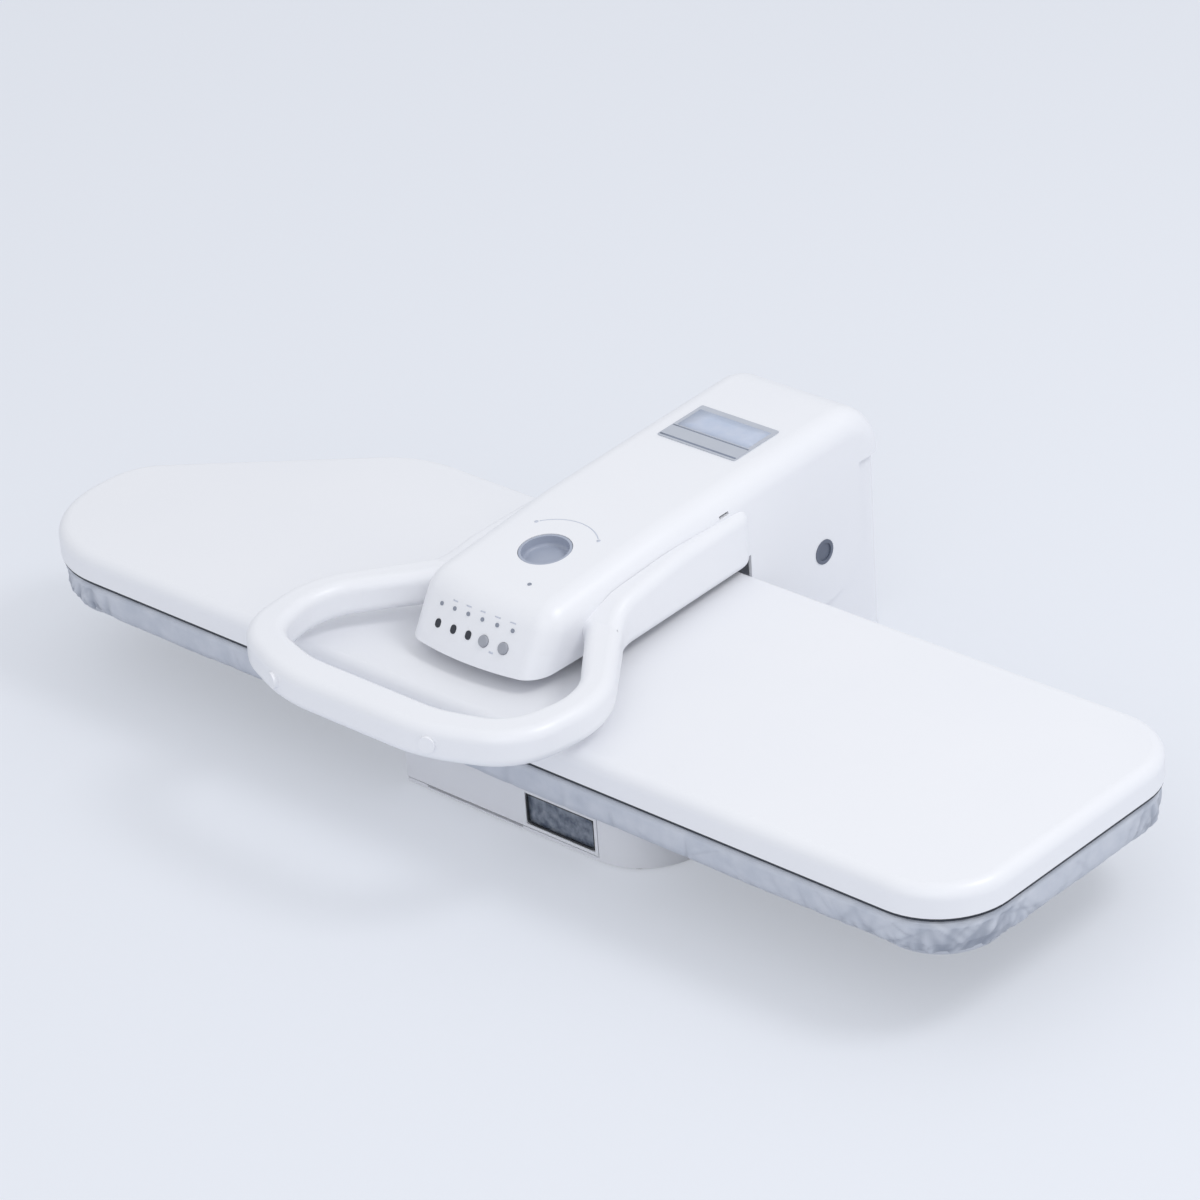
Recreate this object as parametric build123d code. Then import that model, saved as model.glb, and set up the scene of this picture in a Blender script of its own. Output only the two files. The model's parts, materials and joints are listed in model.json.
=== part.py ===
from build123d import *
import math
import os

# Tabletop steam press, closed, in millimetres.
# While it is drawn, x = 0 is the middle of the arm, y = 0 the front rim of the plate cover, z = 0 the table.
# At the end everything is moved so that the origin is the centre of the whole press on the table.

# Pressing plate and its cover
PLATE_RIGHT = 495.0
PLATE_LEFT = 471.0
PLATE_DEPTH = 287.0
SQUARE_CORNER_R = 61.0
NOSE_TAPER_W = 188.0
NOSE_TAPER_D = 154.0
NOSE_FRONT_R = 90.0
NOSE_REAR_R = 60.0
NOSE_TAPER_R = 100.0
RIM_Z = 100.0
COVER_HEIGHT = 24.0
COVER_WALL = 2.5
COVER_EDGE_R = 10.0
HEAT_PLATE_T = 4.0
HEAT_PLATE_REVEAL = 3.0
HEAT_PLATE_GAP = 2.0
HEAT_LIP_INSET = 0.7
HEAT_LIP_UNDER_RIM = 0.4
STEAM_HOLE_R = 1.6
STEAM_HOLE_PITCH_X = 62.0
STEAM_HOLE_PITCH_Y = 52.0
CHAMBER_W = 150.0
CHAMBER_D = 56.0
CHAMBER_H = 9.0
CHAMBER_WALL = 6.0
RISER_X = -16.0
EYE_R = 9.0
EYE_W = 10.0
ELEMENT_R = 3.3
ELEMENT_INSET = 50.0
ELEMENT_NOSE_RUN = 62.0
MAT_T = 5.0

# Padded board under the plate
SOFT_GAP = 0.3
PAD_INSET = 3.0
PAD_HEIGHT = 31.0
PAD_TOP_R = 7.0
PAD_UNDER_R = 11.0
CLOTH_T = 1.2
FOAM_T = 12.0
HEM_WIDTH = 18.0
TRAY_T = 1.5
TRAY_FLANGE = 13.0
TRAY_INSET = 4.0
BRACKET_X = 120.0
BRACKET_W = 30.0
BRACKET_LENGTH = 140.0
BRACKET_BACK = 45.0
BOLT_INSET = 20.0

# Hinge, from the plate's rear edge to the rear of the column
PIVOT_BACK = 91.0
PIVOT_Z = 100.0
PIVOT_R = 6.0
RUNNING = 0.05
COLUMN_BACK = 81.0
COLUMN_FRONT = 43.0
COLUMN_WALL = 3.0
COLUMN_TOP_Z = 155.0
COLUMN_REAR_R = 22.0
COLUMN_TOP_R = 8.0
STEEL_T = 3.0
BRACKET_EAR_R = 20.0
BUSH_WALL = 2.0
BUSH_FLANGE = 1.0
SPRING_ARM = 38.0
SPRING_X = 38.0
SPRING_R = 9.0
SPRING_WIRE_R = 1.2
SPRING_COILS = 14

# Base
BASE_HALF = 176.0
BASE_LEFT_FRONT = 79.0
BASE_FRONT_Y = 42.0
BASE_STEP_Y = 95.0
BASE_FRONT_R = 55.0
BASE_R = 20.0
BASE_WALL = 3.0
BASE_TOP_GAP = 1.7
BASE_TOP_R = 4.0
FOOT_H = 1.5
FOOT_R = 12.0
FLOOR_T = 3.0
SCREW_R = 2.0
SCREW_HOLE_R = 2.05
SCREW_HEAD_R = 4.0

# Water tank in the front of the base
TANK_RIGHT = 119.0
TANK_LEFT = 75.0
TANK_H = 44.7
TANK_WALL = 2.5
TANK_PLAY = 0.8
TANK_PANEL_T = 3.0
TANK_PANEL_LAP = 1.5
REAR_ROOM = 134.0
WINDOW_LEFT = 47.4
WINDOW_RIGHT = 117.5
WINDOW_LOW_Z = 8.0
WINDOW_HIGH_Z = 35.7
FINGER_LEFT = 57.0
FINGER_RIGHT = 43.0
FINGER_DEPTH = 14.0
FINGER_LIP = 1.4
TANK_PLUG_R = 11.0
TANK_PLUG_BACK = 45.0
TANK_VALVE_R = 6.0
TANK_VALVE_X = 95.0
VALVE_UP = 10.0
SOCKET_D = 11.0
RAIL_H = 20.0

# Arm
ARM_HALF = 67.0
HEAD_HALF = 69.0
HEAD_GAP = 1.0
ARM_WALL = 3.0
ARM_BOTTOM_Z = 136.0
ARM_FRONT_Y = 36.0
ARM_BROW_Y = 62.9
ARM_BROW_Z = 182.6
ARM_BROW_R = 30.0
FACE_BOW_R = 300.0
ARM_BEND_FORWARD = 91.0
ARM_BEND_Z = 197.0
ARM_BEND_R = 300.0
ARM_REAR_TOP_Z = 208.0
ARM_REAR_R = 45.0
ARM_REAR_LOW_Z = 160.0
CHEEK_GAP = 4.0
CHEEK_LOW_Z = 95.0
CHEEK_R = 47.0
ARM_EDGE_R = 20.0
UNDER_T = 2.5
UNDER_DROP = 1.0
APRON_BACK = 30.0
APRON_Z = 113.0
PLUG_R = 10.5
PLUG_T = 4.0
SLOT_FORWARD = 28.5
SLOT_Z = 183.0
SLOT_LENGTH = 11.0
SLOT_H = 2.6
SLOT_TILT = 3.0

# Handle loop round the front of the arm, and its limbs along the arm's sides
HANDLE_Z = 150.0
HANDLE_H = 30.0
HANDLE_EDGE_R = 9.0
HANDLE_WALL = 3.0
HANDLE_OUTER = [(72, -89, 150), (148, -58, 60), (157, 30, 84), (87, 122, 50)]
HANDLE_INNER = [(66, -55, 100), (117, -39, 35), (133, 20, 60), (70, 98, 12)]
LIMB_REAR_X = 73.5
LIMB_END_R = 14.0
LIMB_END_GAP = 1.0
LIMB_START_Y = 100.0
LIMB_JOIN_Y = 105
LIMB_SHOULDER_Y = 131.0
LIMB_SHOULDER_RISE = 10.0
LIMB_TOP_RISE = 16.0
LIMB_REAR_RISE = 14.0
LIMB_REAR_DROP = 6.0
LIMB_HOLLOW_END = 60.0
TUBE_R = 7.0
TUBE_PLAY = 1.0
TUBE_CROSS_Y = 114.0
TUBE_TURN_X = 80.0
TUBE_END_X = 40.0
TUBE_BENDS = [26, 60, 45, 100]
RIB_T = 2.0
RIB_ANGLES = [-150, -125, -97, -83, -55, -30, -5, 18, 162, 185]
CAP_X = 79.5
CAP_R = 6.5
CAP_PROUD = 1.6

# Steel frame in the arm and the plate's carrier
FRAME_EAR_R = 17.0
FRAME_TOP_CLEAR = 9.0
FRAME_FRONT_Y = 104.0
FRAME_H = 30.0
FRAME_NECK = 17.0
CARRIER_Y = 140.0
CARRIER_Z = 150.0
CARRIER_PIN_R = 5.0
CARRIER_GAP = 1.4
CARRIER_EAR_R = 11.0
CARRIER_FOOT_W = 120.0
CARRIER_FOOT_D = 90.0
CARRIER_WINDOW_D = 54.0
POST_R = 6.0
TIE_R = 4.0
STEAM_HOSE_X = -30.0
STEAM_BORE_R = 2.0

# Dial, lamps, buttons and the blank plate
DIAL_Y = 133.0
DIAL_R = 21.0
DIAL_PLAY = 0.5
DIAL_DEPTH = 11.0
DIAL_WALL = 2.0
DIAL_FLOOR = 2.5
DIAL_FLOOR_R = 3.0
DIAL_SINK = 0.4
DIAL_UNDER = 1.2
DIAL_STEM_R = 3.0
DIAL_COLLAR_WALL = 2.0
SWITCH_SIDE = 26.0
SWITCH_H = 12.0
SWITCH_PLATE_T = 2.0
LAMP_R = 1.7
LAMP_PITCH = 14.6
LAMP_COUNT = 6
LAMP_MIDDLE_X = -1.0
LAMP_ALONG = 35.8
TOP_LAMP_X = 22.2
TOP_LAMP_Y = 90.8
LENS_R = 2.8
LENS_LONG = 1.6
LENS_X = [-35.6, -18.5, -2.7]
BUTTON_X = [12.8, 31.6]
BUTTON_R = 4.6
BUTTON_PLAY = 0.3
BUTTON_PROUD = 1.6
BUTTON_TRAVEL = 1.2
LOWER_ALONG = 20.7
BOARD_W = 96.0
BOARD_H = 38.0
BOARD_T = 1.6
BOARD_GAP = 9.0
BADGE_W = 80.0
BADGE_D = 55.0
BADGE_T = 1.0
BADGE_FORWARD = 41.5

# Water and power parts in the base
PUMP_X = 95.0
PUMP_R = 15.0
PUMP_LENGTH = 50.0
PUMP_CLEAR = 1.0
NIPPLE = 6.0
HOSE_R = 4.0
HOSE_BORE = 2.4
HOSE_TURN = 21.0
POWER_W = 90.0
POWER_D = 100.0
POWER_X = -112.0
POWER_BACK = 73.0
POWER_UP = 8.0
INLET_W = 32.0
INLET_H = 20.0
INLET_LIP = 3.0
INLET_Z = 36.0

# Worked out from the sizes above, from the front to the rear
NOSE_TURN_Y = PLATE_DEPTH - NOSE_TAPER_D
NOSE_TAPER_X = PLATE_LEFT - NOSE_TAPER_W
PIVOT_Y = PLATE_DEPTH + PIVOT_BACK
COLUMN_REAR_Y = PIVOT_Y + COLUMN_BACK
BASE_REAR_Y = PIVOT_Y - COLUMN_FRONT
BRACKET_MID_Y = PLATE_DEPTH - BRACKET_BACK - BRACKET_LENGTH / 2
CHEEK_FRONT_Y = PLATE_DEPTH + CHEEK_GAP
APRON_Y = CHEEK_FRONT_Y + APRON_BACK
ARM_BEND_Y = CHEEK_FRONT_Y - ARM_BEND_FORWARD
SLOT_Y = CHEEK_FRONT_Y - SLOT_FORWARD
BADGE_Y = PIVOT_Y - BADGE_FORWARD
LIMB_END_Y = CHEEK_FRONT_Y - LIMB_END_GAP
TAIL_Y = PIVOT_Y + SPRING_ARM
HANDLE_FRONT_Y = HANDLE_OUTER[0][1]
TANK_FRONT_Y = BASE_FRONT_Y + TANK_PANEL_T
TANK_REAR_Y = BASE_REAR_Y - REAR_ROOM
TANK_DEPTH = TANK_REAR_Y - TANK_FRONT_Y
PUMP_Y = BASE_REAR_Y - BASE_WALL - HOSE_TURN - PUMP_LENGTH / 2
POWER_Y = BASE_REAR_Y - POWER_BACK
FOOT_PLACES = [(-60, BASE_FRONT_Y + 20), (145, BASE_FRONT_Y + 20), (-152, BASE_REAR_Y - 27), (152, BASE_REAR_Y - 27),
               (-46, COLUMN_REAR_Y - 23), (46, COLUMN_REAR_Y - 23)]

# Heights
COVER_TOP_Z = RIM_Z + COVER_HEIGHT
HEAT_LOW_Z = RIM_Z - HEAT_PLATE_REVEAL
HEAT_TOP_Z = HEAT_LOW_Z + HEAT_PLATE_T
PAD_TOP_Z = HEAT_LOW_Z - SOFT_GAP
PAD_LOW_Z = PAD_TOP_Z - PAD_HEIGHT
FOAM_TOP_Z = PAD_TOP_Z - CLOTH_T
TRAY_TOP_Z = FOAM_TOP_Z - FOAM_T
BRACKET_TOP_Z = TRAY_TOP_Z - TRAY_T
BASE_TOP_Z = PAD_LOW_Z - BASE_TOP_GAP
FLOOR_TOP_Z = FOOT_H + FLOOR_T
TANK_LOW_Z = FLOOR_TOP_Z + TANK_PLAY
TANK_TOP_Z = TANK_LOW_Z + TANK_H
HANDLE_LOW_Z = HANDLE_Z - HANDLE_H / 2
HANDLE_TOP_Z = HANDLE_Z + HANDLE_H / 2
UNDER_LOW_Z = ARM_BOTTOM_Z - UNDER_DROP
UNDER_TOP_Z = UNDER_LOW_Z + UNDER_T

# Slopes, and the places across the press
ARM_TOP_SLOPE = (ARM_BEND_Z - ARM_BROW_Z) / (ARM_BEND_Y - ARM_BROW_Y)
ARM_TOP_TILT = math.degrees(math.atan(ARM_TOP_SLOPE))
REAR_TOP_SLOPE = (ARM_REAR_TOP_Z - ARM_BEND_Z) / (COLUMN_REAR_Y - ARM_BEND_Y)
REAR_TOP_TILT = math.degrees(math.atan(REAR_TOP_SLOPE))
FACE_TILT = math.degrees(math.atan2(ARM_BROW_Z - ARM_BOTTOM_Z, ARM_BROW_Y - ARM_FRONT_Y))
ARM_SIDE_SLOPE = (HEAD_HALF - ARM_HALF) / (COLUMN_REAR_Y - ARM_FRONT_Y)
COLUMN_HALF = ARM_HALF + ARM_SIDE_SLOPE * (BASE_REAR_Y - ARM_FRONT_Y) - ARM_WALL - HEAD_GAP
BRACKET_EAR_X = COLUMN_HALF - COLUMN_WALL - STEEL_T
FRAME_X = BRACKET_EAR_X - BUSH_FLANGE - STEEL_T
CARRIER_X = FRAME_X - CARRIER_GAP - STEEL_T
CARRIER_WINDOW_W = 2 * (CARRIER_X + STEEL_T + 3)
PANEL_RIGHT = TANK_RIGHT + TANK_PANEL_LAP
CENTRE_X = (PLATE_RIGHT - PLATE_LEFT) / 2
CENTRE_Y = (COLUMN_REAR_Y + HANDLE_FRONT_Y) / 2

# Cutting blocks and bars reach past the whole press
REACH = 400.0
SEATED = (Align.CENTER, Align.CENTER, Align.MIN)
HUNG = (Align.CENTER, Align.CENTER, Align.MAX)
CORNER = (Align.MIN, Align.MIN, Align.MIN)

pieces = {}


def keep(name, shape):
    pieces[name] = shape


# Outlines

def rounded_polygon(points):
    """A closed outline from (x, y, corner radius) points."""
    wire = Polyline([(x, y) for x, y, _ in points], close=True)
    face = make_face(wire)
    for x, y, radius in points:
        if radius:
            corner = face.vertices().sort_by_distance((x, y, 0))[0]
            face = fillet(corner, radius)
    return face


def plate_outline(inset=0.0):
    """The blunt, tapered outline that the plate, its cover and the board share."""
    half_turn = math.atan2(NOSE_TAPER_W, NOSE_TAPER_D) / 2
    front_r = min(NOSE_FRONT_R, NOSE_TURN_Y - NOSE_REAR_R * math.tan(half_turn) - 1)
    outline = rounded_polygon([
        (-PLATE_LEFT, 0, front_r),
        (PLATE_RIGHT, 0, SQUARE_CORNER_R),
        (PLATE_RIGHT, PLATE_DEPTH, SQUARE_CORNER_R),
        (-NOSE_TAPER_X, PLATE_DEPTH, NOSE_TAPER_R),
        (-PLATE_LEFT, NOSE_TURN_Y, NOSE_REAR_R),
    ])
    return offset(outline, amount=-inset) if inset else outline


def prism(face, low, high):
    """A flat outline carried straight up from low to high."""
    return Pos(0, 0, low) * extrude(face, high - low)


def side_prism(points, half):
    """An outline of (y, z, corner radius) points carried across the press, from -half to half."""
    face = rounded_polygon(points)
    return extrude(Plane.YZ.offset(-half) * face, 2 * half)


def edges_at(shape, z):
    """The edges that lie wholly at one height."""
    return shape.edges().filter_by(lambda e: abs(e.bounding_box().min.Z - z) < 0.01
                                   and abs(e.bounding_box().max.Z - z) < 0.01)


def mirrored(shape):
    """A shape and its mirror image on the other side of the arm."""
    return [shape, mirror(shape, about=Plane.YZ)]


def cross_cylinder(radius, x0, x1, y, z):
    """A round bar or hole that runs along x."""
    return Pos(x0, y, z) * Rot(0, 90, 0) * Cylinder(radius, x1 - x0, align=SEATED)


def hose(points, radii, bore=HOSE_BORE, radius=HOSE_R):
    """A hose along straight runs joined by tangent arcs."""
    path = FilletPolyline(*points, radius=radii)
    start = Plane(path @ 0, z_dir=path % 0)
    return sweep(start * (Circle(radius) - Circle(bore)), path=path)


# Pressing plate

def plate_cover():
    outer = prism(plate_outline(), RIM_Z, COVER_TOP_Z)
    outer = fillet(edges_at(outer, COVER_TOP_Z), COVER_EDGE_R)
    inner = prism(plate_outline(COVER_WALL), RIM_Z - 1, COVER_TOP_Z - COVER_WALL)
    inner = fillet(edges_at(inner, COVER_TOP_Z - COVER_WALL), COVER_EDGE_R - COVER_WALL)
    window = Pos(0, CARRIER_Y, COVER_TOP_Z) * Box(CARRIER_WINDOW_W, CARRIER_WINDOW_D, 4 * COVER_WALL)
    return outer - inner - window


def steam_holes():
    """The places of the steam holes, a grid that keeps clear of the plate's edge."""
    inside = plate_outline(COVER_WALL + HEAT_PLATE_GAP + 4 * ELEMENT_R)
    columns = int(PLATE_RIGHT // STEAM_HOLE_PITCH_X)
    rows = int(PLATE_DEPTH // STEAM_HOLE_PITCH_Y)
    places = []
    for i in range(-columns, columns + 1):
        for j in range(rows):
            x = (i + 0.5 * (j % 2)) * STEAM_HOLE_PITCH_X
            y = PLATE_DEPTH / 2 + (j - (rows - 1) / 2) * STEAM_HOLE_PITCH_Y
            if inside.faces()[0].is_inside((x, y, 0)):
                places.append((x, y))
    return places


def heating_plate():
    """The aluminium plate, with a lip below the cover's rim that shows as a thin dark line."""
    body = prism(plate_outline(COVER_WALL + HEAT_PLATE_GAP), HEAT_LOW_Z, HEAT_TOP_Z)
    lip = prism(plate_outline(HEAT_LIP_INSET), HEAT_LOW_Z, RIM_Z - HEAT_LIP_UNDER_RIM)
    plate = body + chamfer(edges_at(lip, HEAT_LOW_Z), 0.6)
    holes = [Pos(x, y, HEAT_LOW_Z) * Cylinder(STEAM_HOLE_R, 3 * HEAT_PLATE_T) for x, y in steam_holes()]
    return plate - holes


def heating_element():
    """A tubular element that runs round the plate in a long hairpin."""
    z = HEAT_TOP_Z + ELEMENT_R
    right, left = PLATE_RIGHT - ELEMENT_INSET, -PLATE_LEFT + 1.4 * ELEMENT_INSET
    low, high = ELEMENT_INSET, PLATE_DEPTH - ELEMENT_INSET
    path = FilletPolyline((60, high, z), (right, high, z), (right, low, z), (left, low, z),
                          (left, low + ELEMENT_NOSE_RUN, z), (-NOSE_TAPER_X, high, z), (-60, high, z),
                          radius=[40, 40, 40, 20, 60])
    start = Plane(path @ 0, z_dir=path % 0)
    return sweep(start * Circle(ELEMENT_R), path=path)


def steam_chamber():
    """A cast cover on the middle of the plate, where the water flashes to steam."""
    place = Pos(0, CARRIER_Y, HEAT_TOP_Z)
    block = place * Box(CHAMBER_W, CHAMBER_D, CHAMBER_H, align=SEATED)
    block = fillet(block.edges().filter_by(Axis.Z), 8)
    hollow = place * Box(CHAMBER_W - 2 * CHAMBER_WALL, CHAMBER_D - 2 * CHAMBER_WALL, CHAMBER_H - 3, align=SEATED)
    return block - hollow - Pos(RISER_X, CARRIER_Y, HEAT_TOP_Z) * Cylinder(HOSE_BORE, 4 * CHAMBER_H)


def steam_riser():
    """The tube from the steam chamber up to an eye that turns on the bored carrier pin."""
    low = HEAT_TOP_Z + CHAMBER_H
    tube = Pos(RISER_X, CARRIER_Y, low) * Cylinder(HOSE_R, CARRIER_Z - low, align=SEATED)
    tube += cross_cylinder(EYE_R, RISER_X - EYE_W / 2, RISER_X + EYE_W / 2, CARRIER_Y, CARRIER_Z)
    tube -= cross_cylinder(CARRIER_PIN_R + RUNNING, RISER_X - EYE_W, RISER_X + EYE_W, CARRIER_Y, CARRIER_Z)
    return tube - Pos(RISER_X, CARRIER_Y, low - 1) * Cylinder(HOSE_BORE, CARRIER_Z - low, align=SEATED)


def insulation_mat():
    """A glass fibre mat over the element, cut out round the steam chamber and the carrier."""
    low = HEAT_TOP_Z + 2 * ELEMENT_R + 0.4
    mat = prism(plate_outline(COVER_WALL + 8), low, low + MAT_T)
    mat -= Pos(0, CARRIER_Y, low) * Box(2 * CHAMBER_W, 130, 4 * MAT_T)
    return mat


def carrier_posts():
    """The places of the four posts between the plate and the carrier's foot."""
    return [(sx * (CARRIER_FOOT_W / 2 + 20), CARRIER_Y + sy * (CARRIER_FOOT_D / 2 - 10))
            for sx in (-1, 1) for sy in (-1, 1)]


def plate_carrier():
    """A steel foot under the cover with two ears that rise into the arm and hang on the carrier pin."""
    foot_top = COVER_TOP_Z - COVER_WALL
    foot = Pos(0, CARRIER_Y, foot_top - STEEL_T) * Box(
        CARRIER_FOOT_W + 60, CARRIER_FOOT_D, STEEL_T, align=SEATED)
    foot -= Pos(0, CARRIER_Y, foot_top) * Box(84, 60, 4 * STEEL_T)
    posts = [Pos(x, y, HEAT_TOP_Z) * Cylinder(POST_R, foot_top - STEEL_T - HEAT_TOP_Z,
                                              align=SEATED)
             for x, y in carrier_posts()]
    ear_face = rounded_polygon([
        (CARRIER_Y - 20, foot_top - STEEL_T, 0),
        (CARRIER_Y + 20, foot_top - STEEL_T, 0),
        (CARRIER_Y + CARRIER_EAR_R, CARRIER_Z + CARRIER_EAR_R, CARRIER_EAR_R - 1),
        (CARRIER_Y - CARRIER_EAR_R, CARRIER_Z + CARRIER_EAR_R, CARRIER_EAR_R - 1),
    ])
    ear = extrude(Plane.YZ.offset(CARRIER_X) * ear_face, STEEL_T)
    ear -= cross_cylinder(CARRIER_PIN_R + RUNNING, CARRIER_X - 1, CARRIER_X + STEEL_T + 1, CARRIER_Y, CARRIER_Z)
    return foot + posts + mirrored(ear)


def thermostat():
    body = Pos(120, CARRIER_Y, HEAT_TOP_Z) * Cylinder(8, 8, align=SEATED)
    tab = Pos(120, CARRIER_Y, HEAT_TOP_Z) * Box(34, 8, 1.5, align=SEATED)
    return body + tab


def thermal_fuse():
    body = Pos(-125, CARRIER_Y, HEAT_TOP_Z + 3) * Rot(0, 90, 0) * Cylinder(3, 18)
    clip = Pos(-125, CARRIER_Y, HEAT_TOP_Z) * Box(8, 10, 5, align=SEATED)
    return body, clip - body


def make_plate():
    keep("plate_cover", plate_cover())
    keep("heating_plate", heating_plate())
    keep("heating_element", heating_element())
    keep("steam_chamber", steam_chamber())
    keep("steam_riser", steam_riser())
    keep("insulation_mat", insulation_mat())
    keep("plate_carrier", plate_carrier())
    keep("thermostat", thermostat())
    fuse, clip = thermal_fuse()
    keep("thermal_fuse", fuse)
    keep("fuse_clip", clip)


# Padded board

def pad_cover():
    """The cloth: over the foam, down the side and turned under as a hem."""
    outer = prism(plate_outline(PAD_INSET), PAD_LOW_Z, PAD_TOP_Z)
    outer = fillet(edges_at(outer, PAD_TOP_Z), PAD_TOP_R)
    outer = fillet(edges_at(outer, PAD_LOW_Z), PAD_UNDER_R)
    inner = prism(plate_outline(PAD_INSET + CLOTH_T), PAD_LOW_Z + CLOTH_T, PAD_TOP_Z - CLOTH_T)
    inner = fillet(edges_at(inner, PAD_TOP_Z - CLOTH_T), PAD_TOP_R - CLOTH_T)
    inner = fillet(edges_at(inner, PAD_LOW_Z + CLOTH_T), PAD_UNDER_R - CLOTH_T)
    mouth = prism(plate_outline(PAD_INSET + HEM_WIDTH), PAD_LOW_Z - 1, PAD_LOW_Z + PAD_HEIGHT / 2)
    return outer - inner - mouth


def board_foam():
    inner = prism(plate_outline(PAD_INSET + CLOTH_T), TRAY_TOP_Z, FOAM_TOP_Z)
    return fillet(edges_at(inner, FOAM_TOP_Z), PAD_TOP_R - CLOTH_T)


def board_tray():
    """A pressed steel tray, upside down, that stiffens the board."""
    inset = PAD_INSET + CLOTH_T + TRAY_INSET
    low = TRAY_TOP_Z - TRAY_FLANGE
    outer = prism(plate_outline(inset), low, TRAY_TOP_Z)
    return outer - prism(plate_outline(inset + TRAY_T), low - 1, TRAY_TOP_Z - TRAY_T)


def board_brackets():
    """Two steel channels that carry the board on the base."""
    high = BRACKET_TOP_Z
    block = Pos(BRACKET_X, BRACKET_MID_Y, BASE_TOP_Z) * Box(
        BRACKET_W, BRACKET_LENGTH, high - BASE_TOP_Z, align=SEATED)
    hollow = Pos(BRACKET_X, BRACKET_MID_Y, BASE_TOP_Z + STEEL_T) * Box(
        BRACKET_W - 2 * STEEL_T, BRACKET_LENGTH + 2, high - BASE_TOP_Z - 2 * STEEL_T,
        align=SEATED)
    return mirrored(block - hollow)


def bolt_places():
    """Where the four bolts go through the base's top into the channels."""
    return [(sx * BRACKET_X, BRACKET_MID_Y + sy * (BRACKET_LENGTH / 2 - BOLT_INSET))
            for sx in (-1, 1) for sy in (-1, 1)]


def board_bolts():
    """Bolts through the base's top into the channels, heads inside the base."""
    low = BASE_TOP_Z - BASE_WALL
    return [Pos(x, y, low) * Cylinder(SCREW_HEAD_R + 1, STEEL_T, align=HUNG)
            + Pos(x, y, low) * Cylinder(SCREW_R, BASE_WALL + STEEL_T + 3, align=SEATED) for x, y in bolt_places()]


def bolt_holes():
    return [Pos(x, y, BASE_TOP_Z) * Cylinder(SCREW_HOLE_R, 30) for x, y in bolt_places()]


def make_board():
    keep("pad_cover", pad_cover())
    keep("board_foam", board_foam())
    keep("board_tray", board_tray())
    keep("board_brackets", Compound(children=[b - bolt_holes() for b in board_brackets()]))
    keep("board_bolts", Compound(children=board_bolts()))


# Base

def base_outline(inset=0.0):
    outline = rounded_polygon([
        (-BASE_LEFT_FRONT, BASE_FRONT_Y, 2),
        (BASE_HALF, BASE_FRONT_Y, BASE_FRONT_R),
        (BASE_HALF, BASE_REAR_Y, BASE_R),
        (-BASE_HALF, BASE_REAR_Y, BASE_R),
        (-BASE_HALF, BASE_STEP_Y, BASE_R),
        (-BASE_LEFT_FRONT, BASE_STEP_Y, 0),
    ])
    return offset(outline, amount=-inset) if inset else outline


def column_outline(inset=0.0, front=BASE_REAR_Y):
    """The column's plan: straight sides, rounded rear corners."""
    half, rear = COLUMN_HALF - inset, COLUMN_REAR_Y - inset
    radius = COLUMN_REAR_R - inset
    return rounded_polygon([(-half, front, 0), (half, front, 0), (half, rear, radius), (-half, rear, radius)])


def base_housing():
    outer = prism(base_outline(), FLOOR_TOP_Z, BASE_TOP_Z)
    outer = fillet(edges_at(outer, BASE_TOP_Z), BASE_TOP_R)
    inner = prism(base_outline(BASE_WALL), FLOOR_TOP_Z - 1, BASE_TOP_Z - BASE_WALL)
    mouth = Pos(-BASE_LEFT_FRONT - 1, BASE_FRONT_Y - 1, FLOOR_TOP_Z - 1) * Box(
        BASE_LEFT_FRONT + 1 + PANEL_RIGHT + TANK_PLAY, TANK_PANEL_T + TANK_PLAY + 1,
        TANK_TOP_Z + TANK_PLAY - FLOOR_TOP_Z + 1, align=CORNER)
    column = prism(column_outline(COLUMN_WALL, BASE_REAR_Y - 2 * BASE_WALL), FLOOR_TOP_Z - 1, BASE_TOP_Z - BASE_WALL)
    return outer - inner - mouth - column - bolt_holes()


def column_side(points_inset=0.0):
    """The column's side view; its top stays inside the sweep of the arm's rear."""
    return [
        (BASE_REAR_Y, FLOOR_TOP_Z, 0),
        (COLUMN_REAR_Y - points_inset, FLOOR_TOP_Z, 0),
        (COLUMN_REAR_Y - points_inset, COLUMN_TOP_Z - points_inset, COLUMN_TOP_R - points_inset),
        (PIVOT_Y + 25, COLUMN_TOP_Z + 6 - points_inset, 12),
        (PIVOT_Y - 30, PIVOT_Z + 38, 20),
        (BASE_REAR_Y, PIVOT_Z + 12, 0),
    ]


def column_shell():
    outer = prism(column_outline(), FLOOR_TOP_Z, COLUMN_TOP_Z + 20) & side_prism(column_side(), COLUMN_HALF)
    half = COLUMN_HALF - COLUMN_WALL
    inner = prism(column_outline(COLUMN_WALL, BASE_REAR_Y - 5), FLOOR_TOP_Z - 1, COLUMN_TOP_Z - COLUMN_WALL)
    throat = Pos(-half, BASE_REAR_Y - 5, FLOOR_TOP_Z) * Box(
        2 * half, PIVOT_Y + CHEEK_R - 10 - BASE_REAR_Y, REACH, align=CORNER)
    holes = cross_cylinder(PIVOT_R, -COLUMN_HALF - 1, COLUMN_HALF + 1, PIVOT_Y, PIVOT_Z)
    socket = Pos(0, COLUMN_REAR_Y, INLET_Z) * Box(INLET_W, 20, INLET_H)
    front = Pos(-half, BASE_REAR_Y, BASE_TOP_Z) * Box(
        2 * half, COLUMN_WALL, PIVOT_Z - 4 - BASE_TOP_Z, align=CORNER)
    return outer - inner - throat - holes - socket + front


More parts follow.
